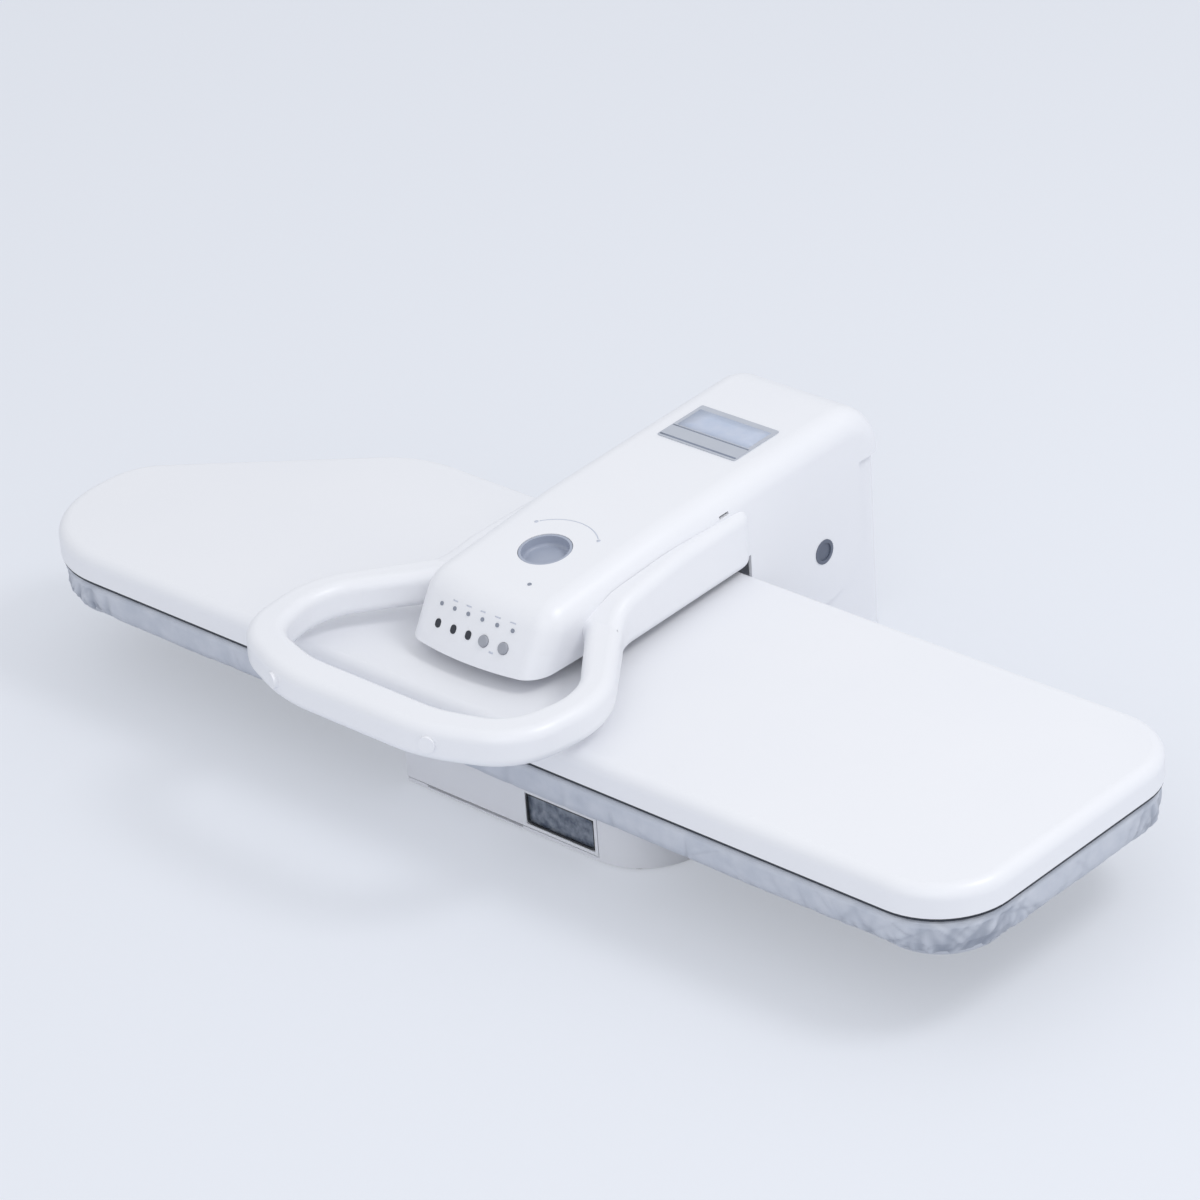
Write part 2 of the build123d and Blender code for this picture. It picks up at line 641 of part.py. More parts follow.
def base_floor():
    """The floor with its vents, its screw holes and the shallow notch in its front lip under the tank's front."""
    plate = prism(base_outline(), FOOT_H, FLOOR_TOP_Z) + prism(column_outline(), FOOT_H, FLOOR_TOP_Z)
    notch = Pos(-FINGER_LEFT, BASE_FRONT_Y - 1, FOOT_H + FINGER_LIP) * Box(
        FINGER_LEFT + FINGER_RIGHT, FINGER_DEPTH + 1, FLOOR_T, align=CORNER)
    vents = [Pos(POWER_X + i * 12, POWER_Y, FOOT_H) * extrude(SlotOverall(60, 5, rotation=90), 3 * FLOOR_T)
             for i in range(-3, 4)]
    return plate - notch - vents - [Pos(x, y, FOOT_H) * Cylinder(SCREW_HOLE_R, 30) for x, y in FOOT_PLACES]


def feet():
    return Compound(children=[
        Pos(x, y, 0) * Cone(FOOT_R - 1.5, FOOT_R, FOOT_H, align=SEATED)
        + Pos(x, y, FOOT_H) * Cylinder(SCREW_R, FLOOR_T, align=SEATED)
        for x, y in FOOT_PLACES])


def hinge_bracket():
    """The bent steel bracket on the floor whose two ears hold the pivot pins."""
    x0 = BRACKET_EAR_X
    ear_face = rounded_polygon([
        (PIVOT_Y - 48, FLOOR_TOP_Z, 0),
        (PIVOT_Y + 56, FLOOR_TOP_Z, 0),
        (PIVOT_Y + 56, FLOOR_TOP_Z + 30, 12),
        (PIVOT_Y + BRACKET_EAR_R, PIVOT_Z + BRACKET_EAR_R, BRACKET_EAR_R - 2),
        (PIVOT_Y - BRACKET_EAR_R, PIVOT_Z + BRACKET_EAR_R, BRACKET_EAR_R - 2),
        (PIVOT_Y - 48, FLOOR_TOP_Z + 30, 12),
    ])
    ear = extrude(Plane.YZ.offset(x0) * ear_face, STEEL_T)
    ear -= cross_cylinder(PIVOT_R, x0 - 1, x0 + STEEL_T + 1, PIVOT_Y, PIVOT_Z)
    foot = Pos(0, PIVOT_Y + 4, FLOOR_TOP_Z) * Box(
        2 * (x0 + STEEL_T), 104, STEEL_T, align=SEATED)
    foot -= [Pos(x, y, FLOOR_TOP_Z) * Cylinder(SCREW_HEAD_R + 2, 30) for x, y in FOOT_PLACES]
    posts = [Pos(sx * SPRING_X, TAIL_Y, FLOOR_TOP_Z + STEEL_T) * Cylinder(
        SPRING_R - 2 * SPRING_WIRE_R - 0.5, 8, align=SEATED) for sx in (-1, 1)]
    return foot + mirrored(ear) + posts


def pivot_pins():
    x0, x1 = FRAME_X - 5, COLUMN_HALF
    pin = cross_cylinder(PIVOT_R, x0, x1, PIVOT_Y, PIVOT_Z)
    return Compound(children=mirrored(pin))


def lift_spring(side):
    """A coil spring from the bracket's post up to the frame's tail bar."""
    low = FLOOR_TOP_Z + STEEL_T
    high = PIVOT_Z - TIE_R
    coil_r = SPRING_R - SPRING_WIRE_R
    height = high - low - 2 * SPRING_WIRE_R
    path = Helix(pitch=height / SPRING_COILS, height=height, radius=coil_r)
    wire = sweep(Plane(path @ 0, z_dir=path % 0) * Circle(SPRING_WIRE_R), path=path)
    return Pos(side * SPRING_X, TAIL_Y, low + SPRING_WIRE_R) * wire


def mains_inlet():
    """A recessed inlet with three blades in the rear of the column."""
    place = Pos(0, COLUMN_REAR_Y, INLET_Z)
    forward = (Align.CENTER, Align.MAX, Align.CENTER)
    rearward = (Align.CENTER, Align.MIN, Align.CENTER)
    flange = place * Box(INLET_W + 2 * INLET_LIP, 2, INLET_H + 2 * INLET_LIP, align=rearward)
    body = place * Box(INLET_W, 18, INLET_H, align=forward)
    well = place * Pos(0, 2, 0) * Box(INLET_W - 8, 15, INLET_H - 5, align=forward)
    blades = [place * Pos(x, -14, z) * Box(2, 11, 4, align=rearward) for x, z in ((-7, -1.5), (0, 2), (7, -1.5))]
    return flange + body - well + blades


def power_board():
    """A circuit board on posts, with a relay, a coil and a heat sink."""
    place = Pos(POWER_X, POWER_Y, FLOOR_TOP_Z + POWER_UP)
    sheet = place * Box(POWER_W, POWER_D, BOARD_T, align=SEATED)
    posts = [place * Pos(sx * (POWER_W / 2 - 6), sy * (POWER_D / 2 - 6), 0) * Cylinder(3, POWER_UP, align=HUNG)
             for sx in (-1, 1) for sy in (-1, 1)]
    on_top = place * Pos(0, 0, BOARD_T)
    relay = on_top * Pos(-20, 30, 0) * Box(28, 20, 16, align=SEATED)
    coil = on_top * Pos(18, 28, 0) * Box(32, 28, 24, align=SEATED)
    sink = on_top * Pos(0, -25, 0) * Box(60, 24, 20, align=SEATED)
    return sheet + posts + relay + coil + sink


def pump():
    z = FLOOR_TOP_Z + PUMP_CLEAR + PUMP_R
    barrel = Pos(PUMP_X, PUMP_Y, z) * Rot(90, 0, 0) * Cylinder(PUMP_R, PUMP_LENGTH)
    cradle = Pos(PUMP_X, PUMP_Y, FLOOR_TOP_Z) * Box(
        2 * PUMP_R, 24, PUMP_R, align=SEATED) - barrel
    nipples = Pos(PUMP_X, PUMP_Y, z) * Rot(90, 0, 0) * Cylinder(HOSE_BORE - RUNNING, PUMP_LENGTH + 2 * NIPPLE)
    return barrel + nipples, cradle


def suction_hose():
    """From the valve's seat straight back and a little up to the pump."""
    z = FLOOR_TOP_Z + PUMP_CLEAR + PUMP_R
    start = TANK_REAR_Y + TANK_PLAY + SOCKET_D
    end = PUMP_Y - PUMP_LENGTH / 2
    low = TANK_LOW_Z + VALVE_UP
    mid = (start + end - NIPPLE) / 2
    return hose([(TANK_VALVE_X, start, low), (TANK_VALVE_X, mid - 4, low),
                 (PUMP_X, mid + 4, z), (PUMP_X, end, z)], 5)


def delivery_hose():
    """From the pump back and up inside the column, ending on the hinge axis."""
    z = FLOOR_TOP_Z + PUMP_CLEAR + PUMP_R
    start = PUMP_Y + PUMP_LENGTH / 2
    turn = start + HOSE_TURN - HOSE_R - 4
    return hose([(PUMP_X, start, z), (PUMP_X, turn, z), (24, turn, z), (24, PIVOT_Y - 14, PIVOT_Z - 30),
                 (24, PIVOT_Y, PIVOT_Z), (0, PIVOT_Y, PIVOT_Z)], [turn - start - NIPPLE, 14, 10, 10])


def tank_socket():
    """The valve seat behind the tank, on its stand."""
    y0 = TANK_REAR_Y + TANK_PLAY
    z = TANK_LOW_Z + VALVE_UP
    stand = Pos(TANK_VALVE_X, y0, FLOOR_TOP_Z) * Box(
        26, SOCKET_D, TANK_LOW_Z + 2 * VALVE_UP - FLOOR_TOP_Z, align=(Align.CENTER, Align.MIN, Align.MIN))
    stand -= Pos(TANK_VALVE_X, y0 - 1, z) * Rot(-90, 0, 0) * Cylinder(
        TANK_VALVE_R + 0.5, 8, align=SEATED)
    stand -= Pos(TANK_VALVE_X, y0, z) * Rot(-90, 0, 0) * Cylinder(HOSE_BORE, 40)
    return stand


def tank_rails():
    """Two low rails on the floor that guide the tank."""
    left_y = BASE_STEP_Y + 4
    left = Pos(-TANK_LEFT - TANK_PLAY, left_y, FLOOR_TOP_Z) * Box(
        BASE_WALL, TANK_REAR_Y - left_y, RAIL_H, align=(Align.MAX, Align.MIN, Align.MIN))
    right_y = BASE_FRONT_Y + 20
    right = Pos(TANK_RIGHT + TANK_PLAY, right_y, FLOOR_TOP_Z) * Box(
        BASE_WALL, TANK_REAR_Y - right_y, RAIL_H, align=CORNER)
    return Compound(children=[left, right])


def make_base():
    keep("base_housing", base_housing())
    keep("column_shell", column_shell())
    keep("base_floor", base_floor())
    keep("feet", feet())
    keep("hinge_bracket", hinge_bracket())
    keep("pivot_pins", pivot_pins())
    keep("lift_spring_left", lift_spring(-1))
    keep("lift_spring_right", lift_spring(1))
    keep("mains_inlet", mains_inlet())
    keep("power_board", power_board())
    barrel, cradle = pump()
    keep("water_pump", barrel)
    keep("pump_cradle", cradle)
    keep("suction_hose", suction_hose())
    keep("delivery_hose", delivery_hose())
    keep("tank_socket", tank_socket())
    keep("tank_rails", tank_rails())


# Water tank

def tank_body():
    """The smoky clear trough; its front wall is the level window behind the hole in the white panel."""
    width = TANK_LEFT + TANK_RIGHT
    outer = Pos(-TANK_LEFT, TANK_FRONT_Y, TANK_LOW_Z) * Box(width, TANK_DEPTH, TANK_H - TANK_WALL, align=CORNER)
    inner = Pos(TANK_WALL - TANK_LEFT, TANK_FRONT_Y + TANK_WALL, TANK_LOW_Z + TANK_WALL) * Box(
        width - 2 * TANK_WALL, TANK_DEPTH - 2 * TANK_WALL, TANK_H, align=CORNER)
    valve = Pos(TANK_VALVE_X, TANK_REAR_Y, TANK_LOW_Z + VALVE_UP) * Rot(90, 0, 0) * Cylinder(
        TANK_VALVE_R - 2, 3 * TANK_WALL)
    return outer - inner - valve


def tank_lid():
    lid = Pos(-TANK_LEFT, TANK_FRONT_Y, TANK_TOP_Z - TANK_WALL) * Box(
        TANK_LEFT + TANK_RIGHT, TANK_DEPTH, TANK_WALL, align=CORNER)
    return lid - Pos(0, TANK_FRONT_Y + TANK_PLUG_BACK, TANK_TOP_Z) * Cylinder(TANK_PLUG_R, 30)


def tank_plug():
    place = Pos(0, TANK_FRONT_Y + TANK_PLUG_BACK, TANK_TOP_Z)
    return place * (Cylinder(TANK_PLUG_R, 7, align=HUNG) - Box(14, 3, 3))


def tank_front():
    """The white panel over the trough's front, with the window's hole in it."""
    panel = Pos(-BASE_LEFT_FRONT, BASE_FRONT_Y, TANK_LOW_Z) * Box(
        BASE_LEFT_FRONT + PANEL_RIGHT, TANK_PANEL_T, TANK_H, align=CORNER)
    window = Pos(WINDOW_LEFT, BASE_FRONT_Y - 1, WINDOW_LOW_Z) * Box(
        WINDOW_RIGHT - WINDOW_LEFT, TANK_PANEL_T + 2, WINDOW_HIGH_Z - WINDOW_LOW_Z, align=CORNER)
    return panel - window


def tank_valve():
    place = Pos(TANK_VALVE_X, TANK_REAR_Y, TANK_LOW_Z + VALVE_UP) * Rot(-90, 0, 0)
    stem = Pos(0, 0, -2 * TANK_WALL) * Cylinder(
        TANK_VALVE_R - 2 - RUNNING, 3 * TANK_WALL, align=SEATED)
    collar = Cylinder(TANK_VALVE_R, 5, align=SEATED)
    return place * (stem + collar - Cylinder(1.5, 60))


def make_tank():
    keep("tank_body", tank_body())
    keep("tank_lid", tank_lid())
    keep("tank_plug", tank_plug())
    keep("tank_front", tank_front())
    keep("tank_valve", tank_valve())


# Arm

def bow(x):
    """How far the bowed front face lies behind its middle at a distance x from the middle."""
    return FACE_BOW_R - math.sqrt(FACE_BOW_R ** 2 - x ** 2)


def face_point(along, x, out=0.0):
    """A place on the sloping, bowed front face: along it from its lower edge, across it, and out from it."""
    tilt = math.radians(FACE_TILT)
    out -= bow(x)
    y = ARM_FRONT_Y + along * math.cos(tilt) - out * math.sin(tilt)
    z = ARM_BOTTOM_Z + along * math.sin(tilt) + out * math.cos(tilt)
    return (x, y, z)


def face_plane(along, x, out=0.0):
    return Plane(origin=face_point(along, x, out), x_dir=(1, 0, 0),
                 z_dir=(0, -math.sin(math.radians(FACE_TILT)), math.cos(math.radians(FACE_TILT))))


def top_plane(x, y, out=0.0):
    """The plane of the arm's top at the dial, square to its gentle slope."""
    tilt = math.radians(ARM_TOP_TILT)
    z = ARM_BROW_Z + (y - ARM_BROW_Y) * ARM_TOP_SLOPE
    return Plane(origin=(x, y - out * math.sin(tilt), z + out * math.cos(tilt)), x_dir=(1, 0, 0),
                 z_dir=(0, -math.sin(tilt), math.cos(tilt)))


def badge_plane(out=0.0):
    tilt = math.radians(REAR_TOP_TILT)
    z = ARM_BEND_Z + (BADGE_Y - ARM_BEND_Y) * REAR_TOP_SLOPE
    return Plane(origin=(0, BADGE_Y - out * math.sin(tilt), z + out * math.cos(tilt)), x_dir=(1, 0, 0),
                 z_dir=(0, -math.sin(tilt), math.cos(tilt)))


def cheek_tangent():
    """Where the straight lower edge of a cheek meets the arc round the pivot."""
    dy, dz = CHEEK_FRONT_Y - PIVOT_Y, CHEEK_LOW_Z - PIVOT_Z
    distance = math.hypot(dy, dz)
    angle = math.atan2(dz, dy) + math.acos(CHEEK_R / distance)
    return PIVOT_Y + CHEEK_R * math.cos(angle), PIVOT_Z + CHEEK_R * math.sin(angle)


def arm_side_outer():
    """The arm's side view, its head closed below by the cheeks round the column."""
    main = rounded_polygon([
        (ARM_FRONT_Y, ARM_BOTTOM_Z, 0),
        (ARM_BROW_Y, ARM_BROW_Z, 0),
        (ARM_BEND_Y, ARM_BEND_Z, ARM_BEND_R),
        (COLUMN_REAR_Y, ARM_REAR_TOP_Z, ARM_REAR_R),
        (COLUMN_REAR_Y, ARM_REAR_LOW_Z, 0),
        (PIVOT_Y + CHEEK_R, ARM_REAR_LOW_Z, 0),
        (PIVOT_Y + CHEEK_R, ARM_BOTTOM_Z, 0),
    ])
    ty, tz = cheek_tangent()
    cheek = make_face(Polyline((CHEEK_FRONT_Y, ARM_BOTTOM_Z), (CHEEK_FRONT_Y, CHEEK_LOW_Z), (ty, tz),
                               (PIVOT_Y, PIVOT_Z), (PIVOT_Y + CHEEK_R, PIVOT_Z), (PIVOT_Y + CHEEK_R, ARM_BOTTOM_Z),
                               close=True))
    arc = Pos(PIVOT_Y, PIVOT_Z) * Circle(CHEEK_R)
    return main + cheek + (arc & Pos(PIVOT_Y, PIVOT_Z) * Rectangle(
        2 * CHEEK_R, CHEEK_R, align=(Align.CENTER, Align.MAX)))


def arm_side_inner():
    """The arm's hollow in side view, open below."""
    reach = (ARM_BOTTOM_Z - 20) / math.tan(math.radians(FACE_TILT))
    tall = rounded_polygon([
        (ARM_FRONT_Y - reach, 20, 0),
        (ARM_BROW_Y, ARM_BROW_Z, 0),
        (ARM_BEND_Y, ARM_BEND_Z, ARM_BEND_R),
        (COLUMN_REAR_Y, ARM_REAR_TOP_Z, ARM_REAR_R),
        (COLUMN_REAR_Y, 20, 0),
    ])
    return offset(tall, amount=-ARM_WALL)


def arm_half(y):
    """Half of the arm's width at a distance y: it widens a little towards the head."""
    return ARM_HALF + ARM_SIDE_SLOPE * (y - ARM_FRONT_Y)


def arm_plan(inset=0.0):
    """The arm from above, a long, slightly tapered block."""
    front, rear = ARM_FRONT_Y - 60, COLUMN_REAR_Y - inset
    narrow, wide = arm_half(front) - inset, arm_half(rear) - inset
    return rounded_polygon([(-narrow, front, 0), (narrow, front, 0), (wide, rear, 0), (-wide, rear, 0)])


def arm_block(side_face, inset):
    """Side view and plan crossed, the face bowed and its brow rounded, then the long edge rounded all along."""
    half = HEAD_HALF + 1
    body = extrude(Plane.YZ.offset(-half) * side_face, 2 * half) & prism(arm_plan(inset), 10, 260)
    tilt = math.radians(FACE_TILT)
    axis = Plane(origin=face_point(0, 0, -FACE_BOW_R), x_dir=(1, 0, 0), z_dir=(0, math.cos(tilt), math.sin(tilt)))
    body &= axis * Cylinder(FACE_BOW_R - inset, 4 * REACH)
    body = fillet(body.edges().filter_by(on_brow), ARM_BROW_R - inset)
    return fillet(body.edges().filter_by(on_profile), ARM_EDGE_R - inset)


def on_brow(edge):
    """True for the edges between the front face and the top."""
    box, centre = edge.bounding_box(), edge.center()
    return box.size.X > ARM_HALF / 2 and centre.Z > ARM_BROW_Z - 10 and centre.Y < ARM_BROW_Y + 20


def on_profile(edge):
    """True for the edges of the arm's sides that follow its side view, from the front foot over to the rear foot."""
    box, centre = edge.bounding_box(), edge.center()
    beside = abs(centre.X) > ARM_HALF / 2 and box.size.X < 10
    if not beside or centre.Z < ARM_BOTTOM_Z and box.size.Z < 60:
        return False
    sloping_face = centre.Y < ARM_BROW_Y and box.size.Y > 1 and box.size.Z > 1
    top = centre.Z > ARM_BROW_Z - 20 and box.size.Y > 1
    rear = box.max.Y > COLUMN_REAR_Y - ARM_WALL - 1 and box.size.Z > 0.5
    return sloping_face or top or rear


def arm_cover(inside):
    """The cover less its hollow and all its holes, with a collar round the dial's well."""
    shell = arm_block(arm_side_outer(), 0.0) - inside
    for hole in panel_holes():
        shell -= hole
    width = 2 * HEAD_HALF + 10
    shell -= cross_cylinder(PLUG_R, -width / 2, width / 2, PIVOT_Y, PIVOT_Z)
    shell -= Pos(0, SLOT_Y, SLOT_Z) * Rot(SLOT_TILT, 0, 0) * Box(width, SLOT_LENGTH, SLOT_H)
    shell -= tube_path_solid(TUBE_R + TUBE_PLAY)
    collar = top_plane(0, DIAL_Y) * Cylinder(
        DIAL_R + DIAL_PLAY + DIAL_COLLAR_WALL, DIAL_SINK + DIAL_DEPTH + DIAL_UNDER, align=HUNG)
    well = top_plane(0, DIAL_Y, 5) * Cylinder(DIAL_R + DIAL_PLAY, 60)
    return shell + (collar & inside) - well


def arm_inside():
    return arm_block(arm_side_inner(), ARM_WALL)


def panel_holes():
    """Everything that is cut through the arm's cover for lamps, lenses, buttons and the slots."""
    cuts = []
    for i in range(LAMP_COUNT):
        cuts.append(face_plane(LAMP_ALONG, lamp_x(i)) * Cylinder(LAMP_R, 6 * ARM_WALL))
    for x in LENS_X:
        cuts.append(face_plane(LOWER_ALONG, x) * lens_solid(6 * ARM_WALL))
    for x in BUTTON_X:
        cuts.append(face_plane(LOWER_ALONG, x) * Cylinder(BUTTON_R + BUTTON_PLAY, 6 * ARM_WALL))
    cuts.append(top_plane(TOP_LAMP_X, TOP_LAMP_Y) * Cylinder(LAMP_R, 6 * ARM_WALL))
    return cuts


def lamp_x(i):
    return LAMP_MIDDLE_X + (i - (LAMP_COUNT - 1) / 2) * LAMP_PITCH


def lens_solid(height):
    return extrude(SlotCenterToCenter(LENS_LONG, 2 * LENS_R, rotation=90), height / 2, both=True)


def arm_underside(inside):
    """The flat lower cover within the arm's walls, with an apron that turns down in front of the column."""
    flat = Pos(0, CHEEK_FRONT_Y, UNDER_LOW_Z) * Box(
        4 * ARM_HALF, REACH, UNDER_T, align=(Align.CENTER, Align.MAX, Align.MIN)) & inside
    window = Pos(0, CARRIER_Y, UNDER_LOW_Z) * Box(CARRIER_WINDOW_W, CARRIER_WINDOW_D + 10, 6 * UNDER_T)
    apron_face = make_face(Polyline(
        (CHEEK_FRONT_Y - 4, UNDER_TOP_Z), (CHEEK_FRONT_Y - 4, UNDER_LOW_Z), (CHEEK_FRONT_Y, UNDER_LOW_Z),
        (APRON_Y - UNDER_T, APRON_Z), (APRON_Y, APRON_Z), (CHEEK_FRONT_Y + UNDER_T, UNDER_TOP_Z), close=True))
    half = ARM_HALF - ARM_WALL - 1
    apron = extrude(Plane.YZ.offset(-half) * apron_face, 2 * half)
    return flat - window + apron


def tube_path():
    """A bent C: along the middle of the loop, its two ends through the frame's side plates."""
    middle = [((ox + ix) / 2, (oy + iy) / 2) for (ox, oy, _), (ix, iy, _) in zip(HANDLE_OUTER, HANDLE_INNER)]
    right = [(TUBE_END_X, TUBE_CROSS_Y), (TUBE_TURN_X, TUBE_CROSS_Y), middle[2], middle[1], middle[0]]
    left = [(-x, y) for x, y in reversed(right)]
    return FilletPolyline(*[(x, y, HANDLE_Z) for x, y in right + left], radius=TUBE_BENDS + TUBE_BENDS[::-1])


def tube_path_solid(radius):
    path = tube_path()
    return sweep(Plane(path @ 0, z_dir=path % 0) * Circle(radius), path=path)


def handle_tube():
    path = tube_path()
    return sweep(Plane(path @ 0, z_dir=path % 0) * (Circle(TUBE_R) - Circle(TUBE_R - 1.5)), path=path)


def both_sides(points):
    """A half outline, front to rear, closed through its mirror image."""
    right = list(points)
    left = [(-x, y, r) for x, y, r in reversed(points)]
    return rounded_polygon(left + right)


def handle_outline():
    """The outer outline of the loop and of the limbs that run back beside the arm."""
    return both_sides(HANDLE_OUTER + [(LIMB_REAR_X, LIMB_END_Y, LIMB_END_R)])


def handle_region(inset=0.0):
    region = handle_outline() - both_sides(HANDLE_INNER)
    return offset(region, amount=-inset) if inset else region


def limbs():
    """The limbs beside the arm: they rise to a shoulder behind the loop and deepen towards the column."""
    side = [
        (LIMB_START_Y, HANDLE_LOW_Z + 1, 0),
        (LIMB_START_Y + 20, HANDLE_LOW_Z - 0.5, 100),
        (LIMB_END_Y, HANDLE_LOW_Z - LIMB_REAR_DROP, 0),
        (LIMB_END_Y, HANDLE_TOP_Z + LIMB_REAR_RISE, 0),
        (ARM_BEND_Y, HANDLE_TOP_Z + LIMB_TOP_RISE, 300),
        (LIMB_SHOULDER_Y, HANDLE_TOP_Z + LIMB_SHOULDER_RISE, 60),
        (LIMB_START_Y, HANDLE_TOP_Z - 2, 0),
    ]
    block = side_prism(side, REACH / 2) & prism(handle_outline(), HANDLE_LOW_Z - HANDLE_H, HANDLE_TOP_Z + HANDLE_H)
    return fillet(block.edges().filter_by(on_limb_rim), HANDLE_EDGE_R)


def on_limb_rim(edge):
    """True for the edges that follow the limbs' outline, above and below, from the loop to the rear end."""
    box = edge.bounding_box()
    return box.max.Y > LIMB_START_Y + 1 and max(box.size.X, box.size.Y) > 1 and box.size.Z < HANDLE_H / 2


def handle_solid():
    """The loop in front and the limbs behind it, which meet in one upright section."""
    loop = prism(handle_region(), HANDLE_LOW_Z, HANDLE_TOP_Z)
    rims = loop.edges().filter_by(lambda e: e.bounding_box().size.Z < 0.01)
    loop = fillet(rims, HANDLE_EDGE_R)
    front = Pos(0, LIMB_JOIN_Y, HANDLE_Z) * Box(REACH, REACH, REACH, align=(Align.CENTER, Align.MAX, Align.CENTER))
    return (loop & front) + (limbs() - front) - prism(arm_plan(), 20, REACH)


def handle_cavity():
    """The hollow of the loop and of the limbs, in which the steel tube lies."""
    hollow = prism(handle_region(HANDLE_WALL), HANDLE_LOW_Z + HANDLE_WALL, HANDLE_TOP_Z - HANDLE_WALL)
    return hollow & Pos(0, CHEEK_FRONT_Y - LIMB_HOLLOW_END, HANDLE_Z) * Box(
        REACH, 2 * REACH, 2 * HANDLE_H, align=(Align.CENTER, Align.MAX, Align.CENTER))


def handle_ribs():
    """Thin webs across the hollow loop that hold the tube."""
    hub = Pos(0, 20, HANDLE_Z)
    return [hub * Rot(0, 0, angle) * Box(REACH, RIB_T, HANDLE_H, align=(Align.MIN, Align.CENTER, Align.CENTER))
            for angle in RIB_ANGLES]


def handle_half(sign):
    solid = handle_solid() - (handle_cavity() - handle_ribs()) - tube_path_solid(TUBE_R + RUNNING) - handle_caps()
    return solid & Pos(0, 0, HANDLE_Z) * Box(2 * REACH, 2 * REACH, REACH, align=SEATED if sign > 0 else HUNG)


def handle_caps():
    """Two plain caps over the screws in the front of the handle."""
    caps = []
    for side in (-1, 1):
        angle = math.atan2(HANDLE_OUTER[1][1] - HANDLE_OUTER[0][1], HANDLE_OUTER[1][0] - HANDLE_OUTER[0][0])
        y = HANDLE_OUTER[0][1] + (CAP_X - HANDLE_OUTER[0][0]) * math.tan(angle) + 0.6
        place = Plane(origin=(side * CAP_X, y, HANDLE_Z + 1), z_dir=(side * math.sin(angle), -math.cos(angle), 0))
        caps.append(place * (Pos(0, 0, CAP_PROUD) * Cylinder(CAP_R, CAP_PROUD + HANDLE_WALL + 1, align=HUNG)))
    return caps


def arm_frame():
    """Two steel side plates from the pivots to the handle tube, tied by cross bars and a tail bar."""
    top = ARM_BEND_Z - ARM_WALL - FRAME_TOP_CLEAR
    low = CARRIER_Z - 12
    face = rounded_polygon([
        (FRAME_FRONT_Y, low, 4), (CHEEK_FRONT_Y + FRAME_NECK, low, 15), (PIVOT_Y - 20, PIVOT_Z - 2, 0),
        (PIVOT_Y + 6, PIVOT_Z + 20, 0), (CHEEK_FRONT_Y + 20, top - 4, 30), (CHEEK_FRONT_Y - 60, top - 14, 30),
        (FRAME_FRONT_Y, low + FRAME_H, 6),
    ])
    face += Pos(PIVOT_Y, PIVOT_Z) * Circle(FRAME_EAR_R)
    face += make_face(Polyline((PIVOT_Y, PIVOT_Z + 14), (PIVOT_Y, PIVOT_Z - 14), (TAIL_Y, PIVOT_Z - 7),
                               (TAIL_Y, PIVOT_Z + 7), close=True))
    face += Pos(TAIL_Y, PIVOT_Z) * Circle(7)
    side = extrude(Plane.YZ.offset(FRAME_X) * face, STEEL_T)
    side -= cross_cylinder(PIVOT_R + BUSH_WALL, FRAME_X - 5, FRAME_X + 10, PIVOT_Y, PIVOT_Z)
    side -= cross_cylinder(CARRIER_PIN_R, FRAME_X - 5, FRAME_X + 10, CARRIER_Y, CARRIER_Z)
    ties = [cross_cylinder(TIE_R, -FRAME_X, FRAME_X, y, z) for y, z in
            ((CHEEK_FRONT_Y, top - 14), (FRAME_FRONT_Y + 92, low + 12))]
    tail = cross_cylinder(TIE_R, -FRAME_X, FRAME_X, TAIL_Y, PIVOT_Z)
    frame = mirrored(side)
    frame = frame[0] + frame[1] + ties + tail
    return frame - tube_path_solid(TUBE_R)


def carrier_pin():
    """The plate's pin, bored between the steam hose above it and the riser's eye below."""
    half = FRAME_X + STEEL_T
    pin = cross_cylinder(CARRIER_PIN_R, -half, half, CARRIER_Y, CARRIER_Z)
    pin -= cross_cylinder(STEAM_BORE_R, STEAM_HOSE_X - 4, RISER_X + 4, CARRIER_Y, CARRIER_Z)
    pin -= Pos(STEAM_HOSE_X, CARRIER_Y, CARRIER_Z) * Cylinder(STEAM_BORE_R, 2 * CARRIER_PIN_R, align=SEATED)
    return pin - Pos(RISER_X, CARRIER_Y, CARRIER_Z) * Cylinder(STEAM_BORE_R, 2 * CARRIER_PIN_R, align=HUNG)


def pivot_bushes():
    x0 = FRAME_X
    sleeve = cross_cylinder(PIVOT_R + BUSH_WALL, x0, x0 + STEEL_T, PIVOT_Y, PIVOT_Z)
    flange = cross_cylinder(PIVOT_R + 2 * BUSH_WALL, x0 + STEEL_T, x0 + STEEL_T + BUSH_FLANGE - 0.1, PIVOT_Y, PIVOT_Z)
    bush = sleeve + flange - cross_cylinder(PIVOT_R + RUNNING, x0 - 1, x0 + 10, PIVOT_Y, PIVOT_Z)
    return Compound(children=mirrored(bush))


def pivot_plugs():
    """Dark plugs in the cheeks over the ends of the pivots."""
    x1 = arm_half(PIVOT_Y) + 0.6
    plug = cross_cylinder(PLUG_R, x1 - PLUG_T + 0.9, x1, PIVOT_Y, PIVOT_Z)
    plug -= cross_cylinder(PLUG_R - 3, x1 - 1.2, x1 + 1, PIVOT_Y, PIVOT_Z)
    return Compound(children=mirrored(plug))


def badge_plate():
    return badge_plane() * extrude(RectangleRounded(BADGE_W, BADGE_D, 1.5), BADGE_T)


def control_board(inside):
    """The board behind the front panel, on two posts that end against the bowed cover."""
    place = face_plane((LAMP_ALONG + LOWER_ALONG) / 2 + 2, 0, -ARM_WALL - BOARD_GAP)
    sheet = place * Box(BOARD_W, BOARD_H, BOARD_T, align=HUNG)
    posts = [place * Pos(sx * (BOARD_W / 2 - 4), 0, 0) * Cylinder(2.5, BOARD_GAP, align=SEATED) & inside
             for sx in (-1, 1)]
    return sheet + posts


